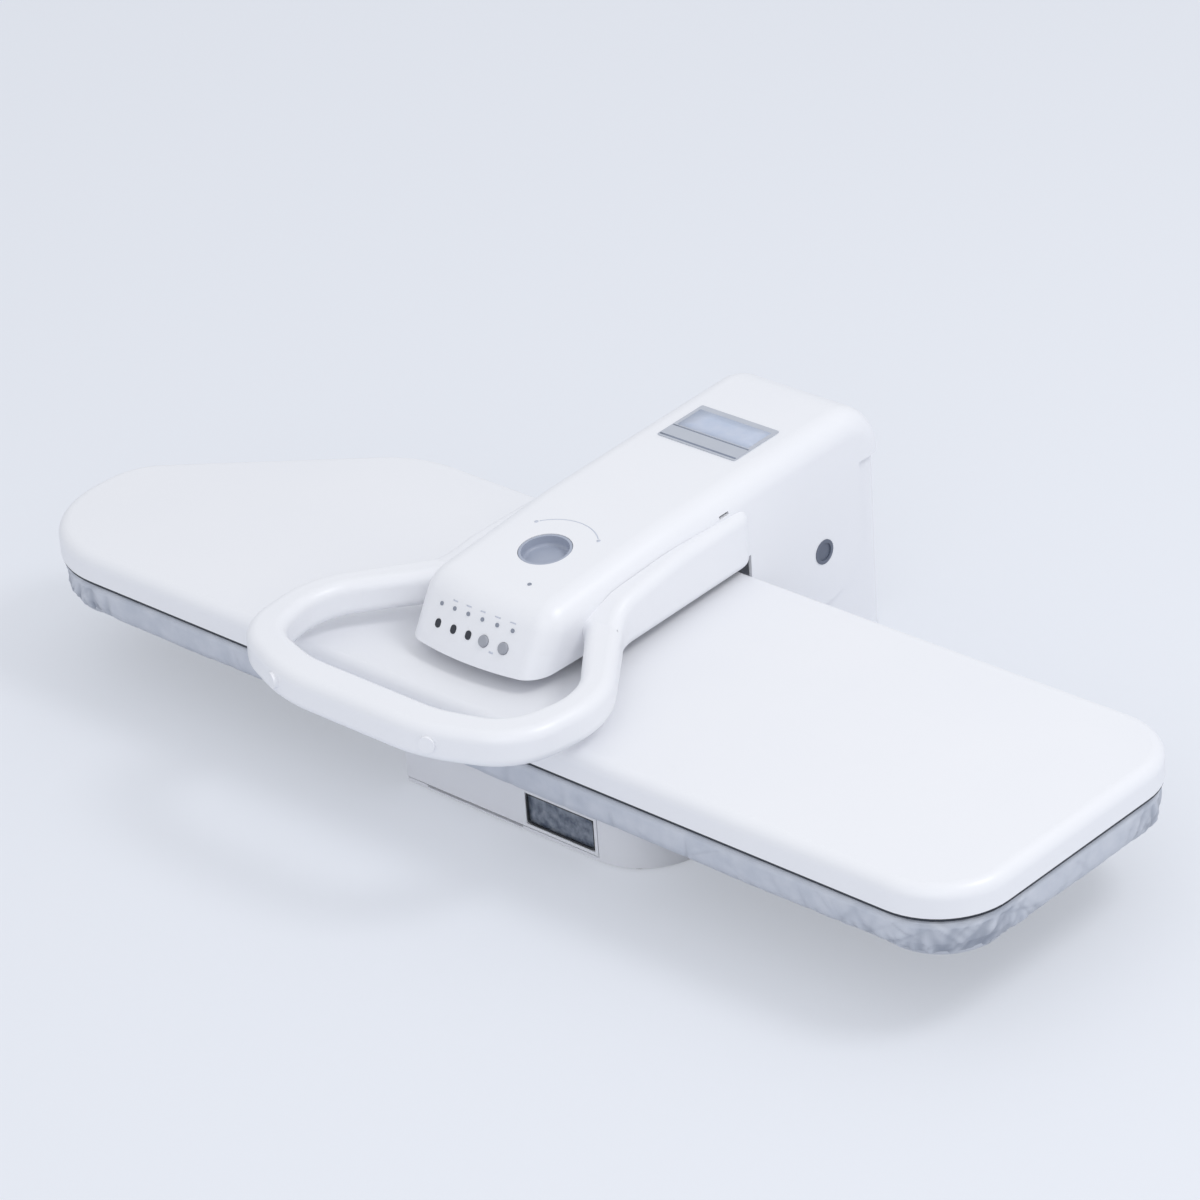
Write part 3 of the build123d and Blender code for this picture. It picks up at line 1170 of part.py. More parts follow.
def status_lamps():
    lamps = []
    for i in range(LAMP_COUNT):
        depth = ARM_WALL + BOARD_GAP - bow(lamp_x(i))
        lamps.append(face_plane(LAMP_ALONG, lamp_x(i), 0.5) * Cylinder(LAMP_R, depth + 0.5, align=HUNG))
    lamps.append(top_plane(TOP_LAMP_X, TOP_LAMP_Y, 0.4) * Cylinder(LAMP_R, ARM_WALL + 4, align=HUNG))
    return Compound(children=lamps)


def lamp_lenses():
    lenses = []
    for x in LENS_X:
        depth = ARM_WALL + BOARD_GAP - bow(x) + 0.4
        lenses.append(face_plane(LOWER_ALONG, x, 0.4) * (Pos(0, 0, -depth / 2) * lens_solid(depth)))
    return Compound(children=lenses)


def button_cap(x):
    """A round cap on a short stem that reaches the switch on the control board."""
    shank = ARM_WALL + 2
    cap = Cylinder(BUTTON_R, BUTTON_PROUD + shank, align=HUNG)
    cap = fillet(cap.edges().group_by(Axis.Z)[-1], 1)
    stem_length = BOARD_GAP - 2 - bow(x) - BUTTON_TRAVEL - 0.4
    stem = Pos(0, 0, -BUTTON_PROUD - shank) * Cylinder(1.8, stem_length, align=HUNG)
    return face_plane(LOWER_ALONG, x, BUTTON_PROUD) * (cap + stem)


def dial_knob():
    """A dished knob sunk into the arm; a fingertip turns it from inside the dish."""
    well = Cylinder(DIAL_R - DIAL_WALL, DIAL_DEPTH - DIAL_FLOOR + 1, align=HUNG)
    well = Pos(0, 0, 1) * fillet(well.edges().group_by(Axis.Z)[0], DIAL_FLOOR_R)
    cup = Cylinder(DIAL_R, DIAL_DEPTH, align=HUNG) - well
    stem = Pos(0, 0, -DIAL_DEPTH) * Cylinder(DIAL_STEM_R, 9, align=HUNG)
    return top_plane(0, DIAL_Y, -DIAL_SINK) * (cup + stem)


def dial_switch():
    """The rotary switch under the dial, on a plate across the end of the collar."""
    plate = Box(2 * (DIAL_R + DIAL_PLAY + DIAL_COLLAR_WALL), SWITCH_SIDE, SWITCH_PLATE_T, align=HUNG)
    body = Pos(0, 0, -SWITCH_PLATE_T) * Box(SWITCH_SIDE, SWITCH_SIDE, SWITCH_H, align=HUNG)
    bore = Cylinder(DIAL_STEM_R + RUNNING, 4 * SWITCH_H)
    return top_plane(0, DIAL_Y, -DIAL_SINK - DIAL_DEPTH - DIAL_UNDER) * (plate + body - bore)


def steam_hose():
    """From the hinge axis forward through the arm and down to the bored carrier pin."""
    high = CARRIER_Z + 24
    route = hose([(0, PIVOT_Y, PIVOT_Z), (STEAM_HOSE_X + 8, PIVOT_Y, PIVOT_Z),
                  (STEAM_HOSE_X, PIVOT_Y - 30, PIVOT_Z + 40), (STEAM_HOSE_X, CARRIER_Y + 40, high),
                  (STEAM_HOSE_X, CARRIER_Y, high), (STEAM_HOSE_X, CARRIER_Y, CARRIER_Z)], [10, 14, 20, 14])
    return route - cross_cylinder(CARRIER_PIN_R, 2 * STEAM_HOSE_X, 0, CARRIER_Y, CARRIER_Z)


def make_arm():
    inside = arm_inside()
    keep("arm_cover", arm_cover(inside))
    keep("arm_underside", arm_underside(inside))
    keep("handle_upper", handle_half(1))
    keep("handle_lower", handle_half(-1))
    keep("handle_tube", handle_tube())
    keep("handle_caps", Compound(children=handle_caps()))
    keep("arm_frame", arm_frame())
    keep("carrier_pin", carrier_pin())
    keep("pivot_bushes", pivot_bushes())
    keep("pivot_plugs", pivot_plugs())
    keep("badge_plate", badge_plate())
    keep("control_board", control_board(inside))
    keep("status_lamps", status_lamps())
    keep("lamp_lenses", lamp_lenses())
    keep("button_left", button_cap(BUTTON_X[0]))
    keep("button_right", button_cap(BUTTON_X[1]))
    keep("dial_knob", dial_knob())
    keep("dial_switch", dial_switch())
    keep("steam_hose", steam_hose())


def main():
    make_plate()
    make_board()
    make_base()
    make_tank()
    make_arm()
    os.makedirs("parts", exist_ok=True)
    for name, shape in pieces.items():
        export_step(Pos(-CENTRE_X, -CENTRE_Y, 0) * shape, f"parts/{name}.step")


main()
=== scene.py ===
"""Looks for a tabletop steam press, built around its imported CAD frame."""

import json
import logging
import math
from dataclasses import dataclass, field
from enum import Enum

import bpy
import numpy as np
from mathutils import Matrix, Vector

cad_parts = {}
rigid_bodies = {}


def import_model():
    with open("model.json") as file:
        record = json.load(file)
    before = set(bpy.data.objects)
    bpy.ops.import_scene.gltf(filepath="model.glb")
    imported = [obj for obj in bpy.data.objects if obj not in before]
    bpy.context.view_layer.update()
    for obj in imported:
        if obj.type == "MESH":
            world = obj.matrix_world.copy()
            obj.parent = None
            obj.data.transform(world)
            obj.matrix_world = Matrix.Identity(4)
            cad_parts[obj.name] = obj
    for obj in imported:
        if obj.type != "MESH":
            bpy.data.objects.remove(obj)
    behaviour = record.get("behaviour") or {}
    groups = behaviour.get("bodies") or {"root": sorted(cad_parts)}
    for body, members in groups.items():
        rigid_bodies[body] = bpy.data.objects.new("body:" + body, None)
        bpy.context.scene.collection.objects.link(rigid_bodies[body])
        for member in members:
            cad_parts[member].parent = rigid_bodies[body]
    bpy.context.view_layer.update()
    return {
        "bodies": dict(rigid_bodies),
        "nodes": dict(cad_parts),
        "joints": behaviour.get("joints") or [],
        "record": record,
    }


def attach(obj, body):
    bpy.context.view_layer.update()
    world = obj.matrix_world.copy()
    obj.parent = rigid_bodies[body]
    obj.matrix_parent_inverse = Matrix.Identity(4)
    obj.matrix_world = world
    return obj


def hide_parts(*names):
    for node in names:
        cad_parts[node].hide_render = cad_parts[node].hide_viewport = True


LOG = logging.getLogger("press")
MM = 0.001
# Lengths here are mm in the drawing frame, whose x 0 is the arm's middle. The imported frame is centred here.
CENTRE = np.array([12.0, 185.0, 0.0])
SKY = "#E4E8F0"
# A patch of the second colour starts and is full at these values of its noise.
PATCH_FROM, PATCH_TO = 0.35, 0.7
LEAST_ROUGH = 0.02


def linear(code: str) -> tuple[float, float, float, float]:
    """Turns an sRGB hex colour into the linear colour that a shader takes.

    Args:
        code: A colour such as "#E4E8F0".

    Returns:
        Red, green, blue and an alpha of 1.
    """
    parts = [int(code[i:i + 2], 16) / 255 for i in (1, 3, 5)]
    red, green, blue = [c / 12.92 if c <= 0.04045 else ((c + 0.055) / 1.055) ** 2.4 for c in parts]
    return red, green, blue, 1.0


def packed(points: np.ndarray) -> np.ndarray:
    """Moves points of the drawing frame, in mm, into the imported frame, in metres."""
    return (np.asarray(points, float) - CENTRE) * MM


def add(tree: bpy.types.NodeTree, kind: str, settings: dict | None = None,
        links: dict | None = None) -> bpy.types.Node:
    """Adds a node with its settings and links.

    Args:
        tree: The node tree that takes it.
        kind: The node's type, without its "ShaderNode".
        settings: Attributes in lower case, and sockets by their name or number.
        links: Sockets by their name or number, with the output that feeds each.

    Returns:
        The new node.
    """
    made = tree.nodes.new("ShaderNode" + kind)
    for key, value in (settings or {}).items():
        if isinstance(key, str) and key[0].islower():
            setattr(made, key, value)
        else:
            made.inputs[key].default_value = value
    for key, source in (links or {}).items():
        tree.links.new(source, made.inputs[key])
    return made


class Texture(Enum):
    """What the eye and the fingertip find on a surface."""

    GRAIN = "fine grain of a moulding"
    BRUSHED = "lines of a brush or a roll"
    SPANGLE = "crystals of a zinc coat"
    WOVEN = "threads over and under"
    CAST = "coarse skin of a casting"


@dataclass(frozen=True)
class Finish:
    """A material of the press, by its common name and how its surface was made."""

    name: str
    colour: str
    second: str
    rough: float
    rough_range: float = 0.05
    metallic: float = 0.0
    ior: float = 1.5
    texture: Texture = Texture.GRAIN
    pitch: float = 0.8
    relief: float = 0.02
    patch: float = 60.0
    patch_share: float = 0.25
    stretch: tuple[float, float, float] = (1.0, 1.0, 1.0)
    coat: float = 0.0
    sheen: float = 0.0
    transmission: float = 0.0
    on_map: bool = False
    # Colour of the painted shade in creases, mixed in by a per-vertex attribute.
    crease_shade_colour: str = ""

    def relief_height(self, tree: bpy.types.NodeTree, place: bpy.types.NodeSocket) -> bpy.types.NodeSocket:
        """Adds the nodes that give the height of the surface's texture.

        Args:
            tree: The material's node tree.
            place: The place on the surface, in metres.

        Returns:
            A socket with a height from 0 to 1.
        """
        scale = 1 / (self.pitch * MM)
        if self.texture is Texture.WOVEN:
            # Two sets of threads: a wave's bands lie pi / (10 scale) apart, so scale = pi / (10 pitch).
            bands = math.pi / 10 * scale
            thread = {"Scale": bands, "Distortion": 1.2, "Detail": 1.0, "Detail Scale": 0.4}
            warp = add(tree, "TexWave", {"bands_direction": "X", **thread}, {"Vector": place})
            weft = add(tree, "TexWave", {"bands_direction": "Y", **thread}, {"Vector": place})
            return add(tree, "Math", {"operation": "MULTIPLY"},
                       {0: warp.outputs["Fac"], 1: weft.outputs["Fac"]}).outputs[0]
        if self.texture is Texture.SPANGLE:
            crystals = add(tree, "TexVoronoi", {"feature": "F1", "Scale": scale}, {"Vector": place})
            return crystals.outputs["Color"]
        detail = 6.0 if self.texture is Texture.CAST else 2.0
        return add(tree, "TexNoise", {"Scale": scale, "Detail": detail, "Roughness": 0.6},
                   {"Vector": place}).outputs["Fac"]

    def make(self) -> bpy.types.Material:
        """Builds the node material.

        Returns:
            The material, named for the real one.
        """
        material = bpy.data.materials.new(self.name)
        material.use_nodes = True
        tree = material.node_tree
        shader = tree.nodes["Principled BSDF"]
        shader.inputs["Metallic"].default_value = self.metallic
        if not self.metallic:
            shader.inputs["IOR"].default_value = self.ior
        shader.inputs["Coat Weight"].default_value = self.coat
        shader.inputs["Sheen Weight"].default_value = self.sheen
        shader.inputs["Transmission Weight"].default_value = self.transmission
        if self.on_map:
            raw = add(tree, "UVMap", {"uv_map": "cloth"}).outputs["UV"]
        else:
            raw = add(tree, "TexCoord").outputs["Object"]
        place = add(tree, "Mapping", {"Scale": self.stretch}, {"Vector": raw}).outputs["Vector"]
        patches = add(tree, "TexNoise", {"Scale": 1 / (self.patch * MM), "Detail": 3.0, "Roughness": 0.55},
                      {"Vector": raw}).outputs["Fac"]
        # A MapRange node's inputs are its value, from low, from high, to low and to high.
        share = add(tree, "MapRange", {1: PATCH_FROM, 2: PATCH_TO, 3: 0.0, 4: self.patch_share},
                    {0: patches}).outputs[0]
        # A colour Mix node takes its share at 0 and its two colours at 6 and 7, and gives its colour at 2.
        tone = add(tree, "Mix", {"data_type": "RGBA", 6: linear(self.colour), 7: linear(self.second)},
                   {0: share})
        # Painted shade: the per-vertex attribute pulls the colour toward the crease shade colour in creases
        # and on the sides.
        if self.crease_shade_colour:
            crease_shade = add(tree, "Attribute", {"attribute_name": "crease_shade"}).outputs["Fac"]
            tone = add(tree, "Mix", {"data_type": "RGBA", 7: linear(self.crease_shade_colour)},
                       {0: crease_shade, 6: tone.outputs[2]})
        tree.links.new(tone.outputs[2], shader.inputs["Base Color"])
        height = self.relief_height(tree, place)
        rough = add(tree, "MapRange", {3: max(LEAST_ROUGH, self.rough - self.rough_range),
                                       4: min(1.0, self.rough + self.rough_range)}, {0: height})
        tree.links.new(rough.outputs[0], shader.inputs["Roughness"])
        bump = add(tree, "Bump", {"Strength": 1.0, "Distance": self.relief * MM}, {"Height": height})
        tree.links.new(bump.outputs["Normal"], shader.inputs["Normal"])
        return material


# Each slot of the record, with what its surface gives the eye.
FINISHES = {
    # ABS, injection moulded in a spark-eroded mould: near white, cool, with a soft gloss.
    "white_shell": Finish("moulded_white_abs", "#EEEFF3", "#E8EAF0", 0.34, pitch=0.9, relief=0.004,
                          patch=140),
    # Aluminised woven polyester: a cool grey sheen, broken by threads and by soft crumples; painted shade
    # darkens the crumples' valleys and the board's sides.
    # Its threads are 0.4 mm apart, drawn 1.5 mm apart so that they show.
    "silver_cloth": Finish("aluminised_polyester_weave", "#D0D4DD", "#B4BBC8", 0.44, 0.08, metallic=0.18,
                           texture=Texture.WOVEN, pitch=1.5, relief=0.08, patch=22, patch_share=0.55,
                           sheen=0.1, on_map=True, crease_shade_colour="#7C8494"),
    # Open-cell polyurethane foam, cut from a block.
    "foam": Finish("cut_polyurethane_foam", "#E3DDC4", "#D6CEB0", 0.9, texture=Texture.CAST, pitch=2.0,
                   relief=0.3),
    # Hot-dip galvanised sheet steel: grey crystals a few millimetres across.
    "steel": Finish("galvanised_sheet_steel", "#A9AEB4", "#8F959C", 0.38, 0.1, metallic=1.0,
                    texture=Texture.SPANGLE, pitch=6.0, relief=0.01, patch=30, patch_share=0.5),
    # Sintered bronze, oil soaked.
    "bronze": Finish("sintered_bronze", "#A0733F", "#7E5A32", 0.42, metallic=1.0, texture=Texture.CAST,
                     pitch=0.6, relief=0.03, patch=6),
    # Rolled aluminium plate with a baked non-stick coat: dark, smooth, faint rolling lines along the board.
    "plate_aluminium": Finish("coated_rolled_aluminium", "#2C3039", "#343944", 0.45, 0.08, metallic=0.3,
                              texture=Texture.BRUSHED, pitch=0.9, relief=0.01, stretch=(0.03, 1.0, 1.0),
                              patch=50),
    # Stainless tube of a sheathed element, heat tinted.
    "element_steel": Finish("heat_tinted_stainless", "#8A8274", "#6D6258", 0.4, metallic=1.0,
                            texture=Texture.CAST, pitch=1.5, relief=0.02, patch=12, patch_share=0.6),
    # Woven glass fibre mat.
    "glass_fibre": Finish("woven_glass_fibre", "#E8E4D6", "#D9D3BF", 0.75, texture=Texture.WOVEN, pitch=2.2,
                          relief=0.25, sheen=0.2),
    # Phenolic resin of a thermostat's body, pressed.
    "thermostat_body": Finish("pressed_phenolic", "#3A2A22", "#2E211B", 0.45, texture=Texture.CAST, pitch=0.7,
                              relief=0.02),
    # Black ABS, moulded with a matt grain.
    "black_plastic": Finish("moulded_black_abs", "#1F2226", "#2A2D33", 0.42, pitch=0.6, relief=0.02,
                            patch=30),
    # Grey-blue ABS plugs with a satin skin.
    "plug_grey": Finish("moulded_slate_abs", "#5F6676", "#6C7384", 0.4, pitch=0.6, relief=0.02, patch=12),
    # Slate-grey ABS of the dial, satin.
    "dial_grey": Finish("moulded_dial_abs", "#A9B0C0", "#9EA6B6", 0.33, pitch=0.7, relief=0.006, patch=20),
    # Grey silicone button caps, matt.
    "button_grey": Finish("moulded_grey_silicone", "#A4A7AF", "#999CA5", 0.55, pitch=0.5, relief=0.01,
                          patch=6),
    # Nitrile rubber feet and hoses.
    "rubber": Finish("moulded_nitrile_rubber", "#2B2D30", "#35383C", 0.62, pitch=0.8, relief=0.03, patch=10),
    # Zinc plated iron of a small pump.
    "pump_metal": Finish("plated_iron", "#B5AD90", "#9C957C", 0.35, metallic=1.0, texture=Texture.BRUSHED,
                         pitch=0.8, relief=0.01, stretch=(1.0, 0.05, 1.0), patch=14),
    # Smoked clear SAN of the tank: dark, glossy, a little of what lies behind it, with pale vertically
    # stretched patches of its second colour that are painted reflections.
    "smoky_clear": Finish("smoked_clear_san", "#6B7689", "#C2CAD6", 0.1, 0.04, ior=1.57, pitch=4.0,
                          relief=0.25, patch=7, patch_share=0.75, stretch=(1.0, 1.0, 0.4), transmission=0.35),
    # FR-4 laminate under green solder mask.
    "board_green": Finish("solder_masked_laminate", "#1F5C3B", "#184B30", 0.34, texture=Texture.WOVEN,
                          pitch=1.2, relief=0.02, patch=9, coat=0.3),
    # Aluminium label stock, brushed along its length and anodised clear.
    "badge_silver": Finish("brushed_anodised_aluminium", "#C3C7CF", "#B3B8C2", 0.36, 0.1, metallic=0.35,
                           texture=Texture.BRUSHED, pitch=0.5, relief=0.006, stretch=(0.05, 1.0, 1.0),
                           patch=18),
    # Dark tinted acrylic light guides.
    "lamp_dark": Finish("tinted_acrylic", "#2A2D35", "#3A3E48", 0.2, ior=1.49, pitch=0.5, relief=0.002,
                        patch=5),
}
# The paint of the floor, rolled on matt.
FLOOR_PAINT = Finish("matt_painted_board", "#E6E9F0", "#E3E7EF", 0.85, pitch=3.0, relief=0.01, patch=900)
# Status lamps are paler light guides than the three lenses.
PALE_LAMP = Finish("frosted_acrylic", "#8B919E", "#979DAA", 0.35, ior=1.49, pitch=0.5, relief=0.004, patch=5)
# Screen printing ink, matt, with a slight mottle.
GREY_INK = Finish("grey_screen_ink", "#CDD2DE", "#C6CBD8", 0.5, pitch=0.4, relief=0.002, patch=4)
PANEL_INK = Finish("pale_blue_screen_ink", "#C4CCDD", "#B4C1D8", 0.42, pitch=0.4, relief=0.002, patch=16,
                   patch_share=0.7)
# The slate ink prints the badge's divider line and also paints shade along the badge's front edge.
DARK_INK_AND_SHADE = Finish("slate_ink_and_painted_shade", "#7F8798", "#8890A0", 0.45, pitch=0.4, relief=0.002, patch=5)


def mesh_object(name: str, points: np.ndarray, faces: np.ndarray | list, finish: bpy.types.Material,
                uv: np.ndarray | None = None) -> bpy.types.Object:
    """Makes a smooth-shaded mesh object whose place is in its mesh.

    Args:
        name: The piece's name.
        points: Its vertices in the drawing frame, in mm.
        faces: Vertex numbers, four or three to a face.
        finish: Its material.
        uv: A map coordinate for each vertex, in metres, where the finish follows the surface.

    Returns:
        The object, linked into the scene.
    """
    mesh = bpy.data.meshes.new(name)
    mesh.from_pydata(packed(points).tolist(), [], [tuple(map(int, face)) for face in faces])
    mesh.validate()
    if uv is not None:
        layer = mesh.uv_layers.new(name="cloth")
        corner = np.empty(len(mesh.loops), dtype=np.int32)
        mesh.loops.foreach_get("vertex_index", corner)
        layer.data.foreach_set("uv", uv[corner].ravel())
    mesh.polygons.foreach_set("use_smooth", np.ones(len(mesh.polygons), dtype=bool))
    mesh.materials.append(finish)
    made = bpy.data.objects.new(name, mesh)
    bpy.context.scene.collection.objects.link(made)
    return made


def grid_faces(rows: int, columns: int, closed: bool) -> np.ndarray:
    """Lists the four corners of each cell of a grid of rows x columns points.

    Args:
        rows: How many rows of points.
        columns: How many points in a row.
        closed: Whether the last column joins the first.

    Returns:
        An array of faces.
    """
    i, j = np.meshgrid(np.arange(rows - 1), np.arange(columns if closed else columns - 1), indexing="ij")
    k = (j + 1) % columns
    return np.stack([i * columns + j, i * columns + k, (i + 1) * columns + k, (i + 1) * columns + j],
                    axis=-1).reshape(-1, 4)


def thicken(piece: bpy.types.Object, thickness: float) -> None:
    """Gives a printed film its thickness, in mm, half above and half below its sheet."""
    wall = piece.modifiers.new("film", "SOLIDIFY")
    wall.thickness = thickness * MM
    wall.offset = 0.0


@dataclass
class BoardCloth:
    """The silvery cloth over the foam of the lower board, drawn in under it and gathered at the corners.

    Each corner is x, y and radius. A pair of numbers is the least and the most of an even draw.
    """

    corners: list = field(default_factory=lambda: [
        (-471, 0, 90), (495, 0, 61), (495, 287, 61), (-283, 287, 100), (-471, 133, 60)])
    inset: float = 3.0
    top_z: float = 96.7
    low_z: float = 65.7
    top_r: float = 7.0
    under_r: float = 11.0
    hem_width: float = 18.0
    hem_r: float = 1.2
    tray_top: float = 84.2
    tray_clear: float = 3.6
    flat_in: float = 70.0
    lining_in: float = 60.0
    corner_steps: int = 90
    top_rows: int = 11
    around: int = 1150
    top_share: float = 0.25
    side_share: tuple = (0.55, 0.45)
    deepest: float = 3.6
    creases: int = 420
    gathered: float = 0.6
    corner_spread: float = 22.0
    slant_spread: float = 0.9
    crease_widths: tuple = (1.4, 4.2)
    gather_depths: tuple = (0.8, 3.2)
    plain_depths: tuple = (0.3, 1.3)
    crease_middles: tuple = (8, 48)
    crease_reaches: tuple = (9, 24)
    crease_wave: float = 1.6
    crease_wave_run: float = 7.0
    fullness: float = 1.3
    slack_waves: tuple = ((0.35, 31, 0), (0.25, 13, 1))
    hem_lift: float = 0.35
    hem_zone: float = 4.0
    corner_sag: float = 3.0
    sag_from: float = 80.0
    sag_over: float = 14.0
    # Painted shade: how dark the crease valleys get (fold_shade, fold_power) and how dark the sides and
    # underside get (side_shade).
    fold_shade: float = 0.75
    fold_power: float = 1.2
    side_shade: float = 0.12
    seed: int = 11

    def outline(self) -> tuple[np.ndarray, np.ndarray, np.ndarray]:
        """Works out the board's rounded outline at even steps.

        A corner of radius r and turning angle a takes r tan(a / 2) off both its sides; its arc is
        centre + r (cos t, sin t) with t between the outward normals of the sides.

        Returns:
            Points, outward normals, and how much each point belongs to a corner, from 0 to 1.
        """
        points, normals, bends = [], [], []
        count = len(self.corners)
        for i, (x, y, r) in enumerate(self.corners):
            here = np.array([x, y], float)
            before = here - np.array(self.corners[i - 1][:2], float)
            after = np.array(self.corners[(i + 1) % count][:2], float) - here
            before /= np.linalg.norm(before)
            after /= np.linalg.norm(after)
            turn = math.acos(float(np.clip(before @ after, -1, 1)))
            start = math.atan2(-before[0], before[1])
            angles = start + np.linspace(0, turn, self.corner_steps)
            ring = np.stack([np.cos(angles), np.sin(angles)], axis=-1)
            first = here - before * r * math.tan(turn / 2)
            middle = first - r * np.array([math.cos(start), math.sin(start)])
            points.append(middle + r * ring)
            normals.append(ring)
            bends.append(np.sin(np.linspace(0, math.pi, self.corner_steps)) ** 0.5)
        points, normals, bends = (np.concatenate(part) for part in (points, normals, bends))
        closed = np.vstack([points, points[:1]])
        length = np.concatenate([[0], np.cumsum(np.linalg.norm(np.diff(closed, axis=0), axis=1))])
        even = np.linspace(0, length[-1], self.around, endpoint=False)
        place = np.stack([np.interp(even, length, closed[:, k]) for k in (0, 1)], axis=-1)
        outward = np.stack([np.interp(even, length, np.append(normals[:, k], normals[0, k])) for k in (0, 1)],
                           axis=-1)
        outward /= np.linalg.norm(outward, axis=1, keepdims=True)
        bend = np.interp(even, length, np.append(bends, bends[0]))
        self.girth = float(length[-1])
        return place, outward, bend

    def profile(self) -> tuple[np.ndarray, np.ndarray, np.ndarray]:
        """Works out the section of the padded board from its top, over the side, to the hem and back inside.

        Quarter circles of top_r and under_r join the top, the upright side and the underside; the hem is a
        half circle; then the inside runs back over the tray.

        Returns:
            Inset from the outline, height, and the share of the gathers, for each row.
        """
        arc = np.linspace(0, math.pi / 2, 9)
        over = [(self.top_r * (1 - math.sin(a)), self.top_z - self.top_r * (1 - math.cos(a)),
                 self.top_share * a) for a in arc]
        least, gain = self.side_share
        side = [(0.0, z, least + gain * (self.top_z - z) / (self.top_z - self.low_z))
                for z in np.linspace(self.top_z - self.top_r, self.low_z + self.under_r, 14)[1:-1]]
        under = [(self.under_r * (1 - math.cos(a)), self.low_z + self.under_r * (1 - math.sin(a)), 1.0)
                 for a in arc]
        flat = [(d, self.low_z, 1.0) for d in np.linspace(self.under_r, self.hem_width, 5)[1:]]
        hem = [(self.hem_width + self.hem_r * math.sin(a), self.low_z + self.hem_r * (1 - math.cos(a)), 0.5)
               for a in np.linspace(0, math.pi, 7)[1:]]
        back = [(self.tray_clear + 1.5, self.low_z + 2 * self.hem_r, 0.0),
                (self.tray_clear, self.low_z + 8, 0.0),
                (self.tray_clear, self.tray_top, 0.0), (self.lining_in, self.tray_top, 0.0)]
        top = [(d, self.top_z, 0.0) for d in np.linspace(self.flat_in, self.top_r, self.top_rows + 1)[:-1]]
        rows = np.array(top + over + side + under + flat + hem + back)
        return rows[:, 0] + self.inset, rows[:, 1], rows[:, 2]

    def gathers(self, along: np.ndarray, down: np.ndarray, bend: np.ndarray) -> np.ndarray:
        """Works out how far the cloth is drawn in by its creases.

        Each crease is a slanting, slightly wavy valley: depth x exp(-((u - u0 - slant v - wave) / width)^2),
        which fades out along its length; the corners carry most of them.

        Args:
            along: Distance round the board for each column, in mm.
            down: Distance along the section for each row, in mm.
            bend: How much each column belongs to a corner.

        Returns:
            Depths in mm, rows x columns.
        """
        draw = np.random.default_rng(self.seed)
        u, v = along[None, :], down[:, None]
        depth = np.zeros((len(down), len(along)))
        corner_places = along[bend > 0.05]
        for number in range(self.creases):
            gathered = number < self.gathered * self.creases
            if gathered:
                centre = draw.choice(corner_places) + draw.normal(0, self.corner_spread)
            else:
                centre = draw.uniform(0, self.girth)
            slant, width = draw.normal(0, self.slant_spread), draw.uniform(*self.crease_widths)
            size = draw.uniform(*(self.gather_depths if gathered else self.plain_depths))
            middle, reach = draw.uniform(*self.crease_middles), draw.uniform(*self.crease_reaches)
            phase = draw.uniform(0, 2 * math.pi)
            off = (u - centre + self.girth / 2) % self.girth - self.girth / 2
            off = off - slant * (v - middle) - self.crease_wave * np.sin(v / self.crease_wave_run + phase)
            depth += size * np.exp(-(off / width) ** 2 - ((v - middle) / reach) ** 2)
        return self.deepest * np.tanh(depth / self.deepest)

    def build(self, finish: bpy.types.Material) -> bpy.types.Object:
        """Builds the padded cloth: point = outline - (inset + gathers - swell - slack) x normal, row by row.

        Args:
            finish: The cloth's material.

        Returns:
            The object.
        """
        place, outward, bend = self.outline()
        inset, height, share = self.profile()
        run = np.concatenate([[0], np.cumsum(np.hypot(np.diff(inset), np.diff(height)))])
        along = np.linspace(0, self.girth, self.around, endpoint=False)
        edge = run[self.top_rows]
        drawn = self.gathers(along, run - edge, bend) * share[:, None]
        fall = np.clip((self.top_z - height) / (self.top_z - self.low_z), 0, 1)
        swell = self.fullness * np.sin(fall * math.pi)
        waves = sum(size * np.sin(along / length + phase) for size, length, phase in self.slack_waves)
        slack = waves[None, :] * share[:, None]
        flat = place[None, :, :] - (inset[:, None] + drawn - swell[:, None] * (share > 0)[:, None]
                                    - slack)[:, :, None] * outward[None, :, :]
        at_hem = (share[:, None] > 0.9) & (height[:, None] < self.low_z + self.hem_zone)
        lift = np.where(at_hem, self.hem_lift * drawn, 0.0)
        low = np.clip((self.sag_from - height) / self.sag_over, 0, 1)
        sag = self.corner_sag * low[:, None] * bend[None, :]
        z = height[:, None] + lift - sag
        rings = np.concatenate([flat, z[:, :, None]], axis=-1)
        rows = len(rings)
        middle = place.mean(axis=0)
        points = np.vstack([rings.reshape(-1, 3), [[*middle, self.top_z]], [[*middle, self.tray_top]]])
        faces = grid_faces(rows, self.around, True)[:, ::-1]
        start = np.arange(self.around)
        after = (start + 1) % self.around
        top = np.stack([np.full_like(start, rows * self.around), start, after], axis=-1)
        last = (rows - 1) * self.around
        lining = np.stack([np.full_like(start, rows * self.around + 1), last + after, last + start], axis=-1)
        uv = np.stack(np.broadcast_arrays(along[None, :], run[:, None]), axis=-1).reshape(-1, 2) * MM
        uv = np.vstack([uv, [[0, 0]], [[0, 0]]])
        every = [*faces.tolist(), *top.tolist(), *lining.tolist()]
        piece = mesh_object("board_cloth", points, every, finish, uv)
        # Painted shade, stored per vertex: darker deep in each crease and a little on the sides and
        # underside.
        crease_shade = piece.data.attributes.new("crease_shade", "FLOAT", "POINT")
        deep = np.clip(drawn / self.deepest, 0, 1)
        shade = self.fold_shade * deep ** self.fold_power + self.side_shade * share[:, None]
        crease_shade.data.foreach_set("value", np.append(shade, [0, 0]))
        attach(piece, "stand")
        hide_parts("pad_cover", "board_foam")
        return piece


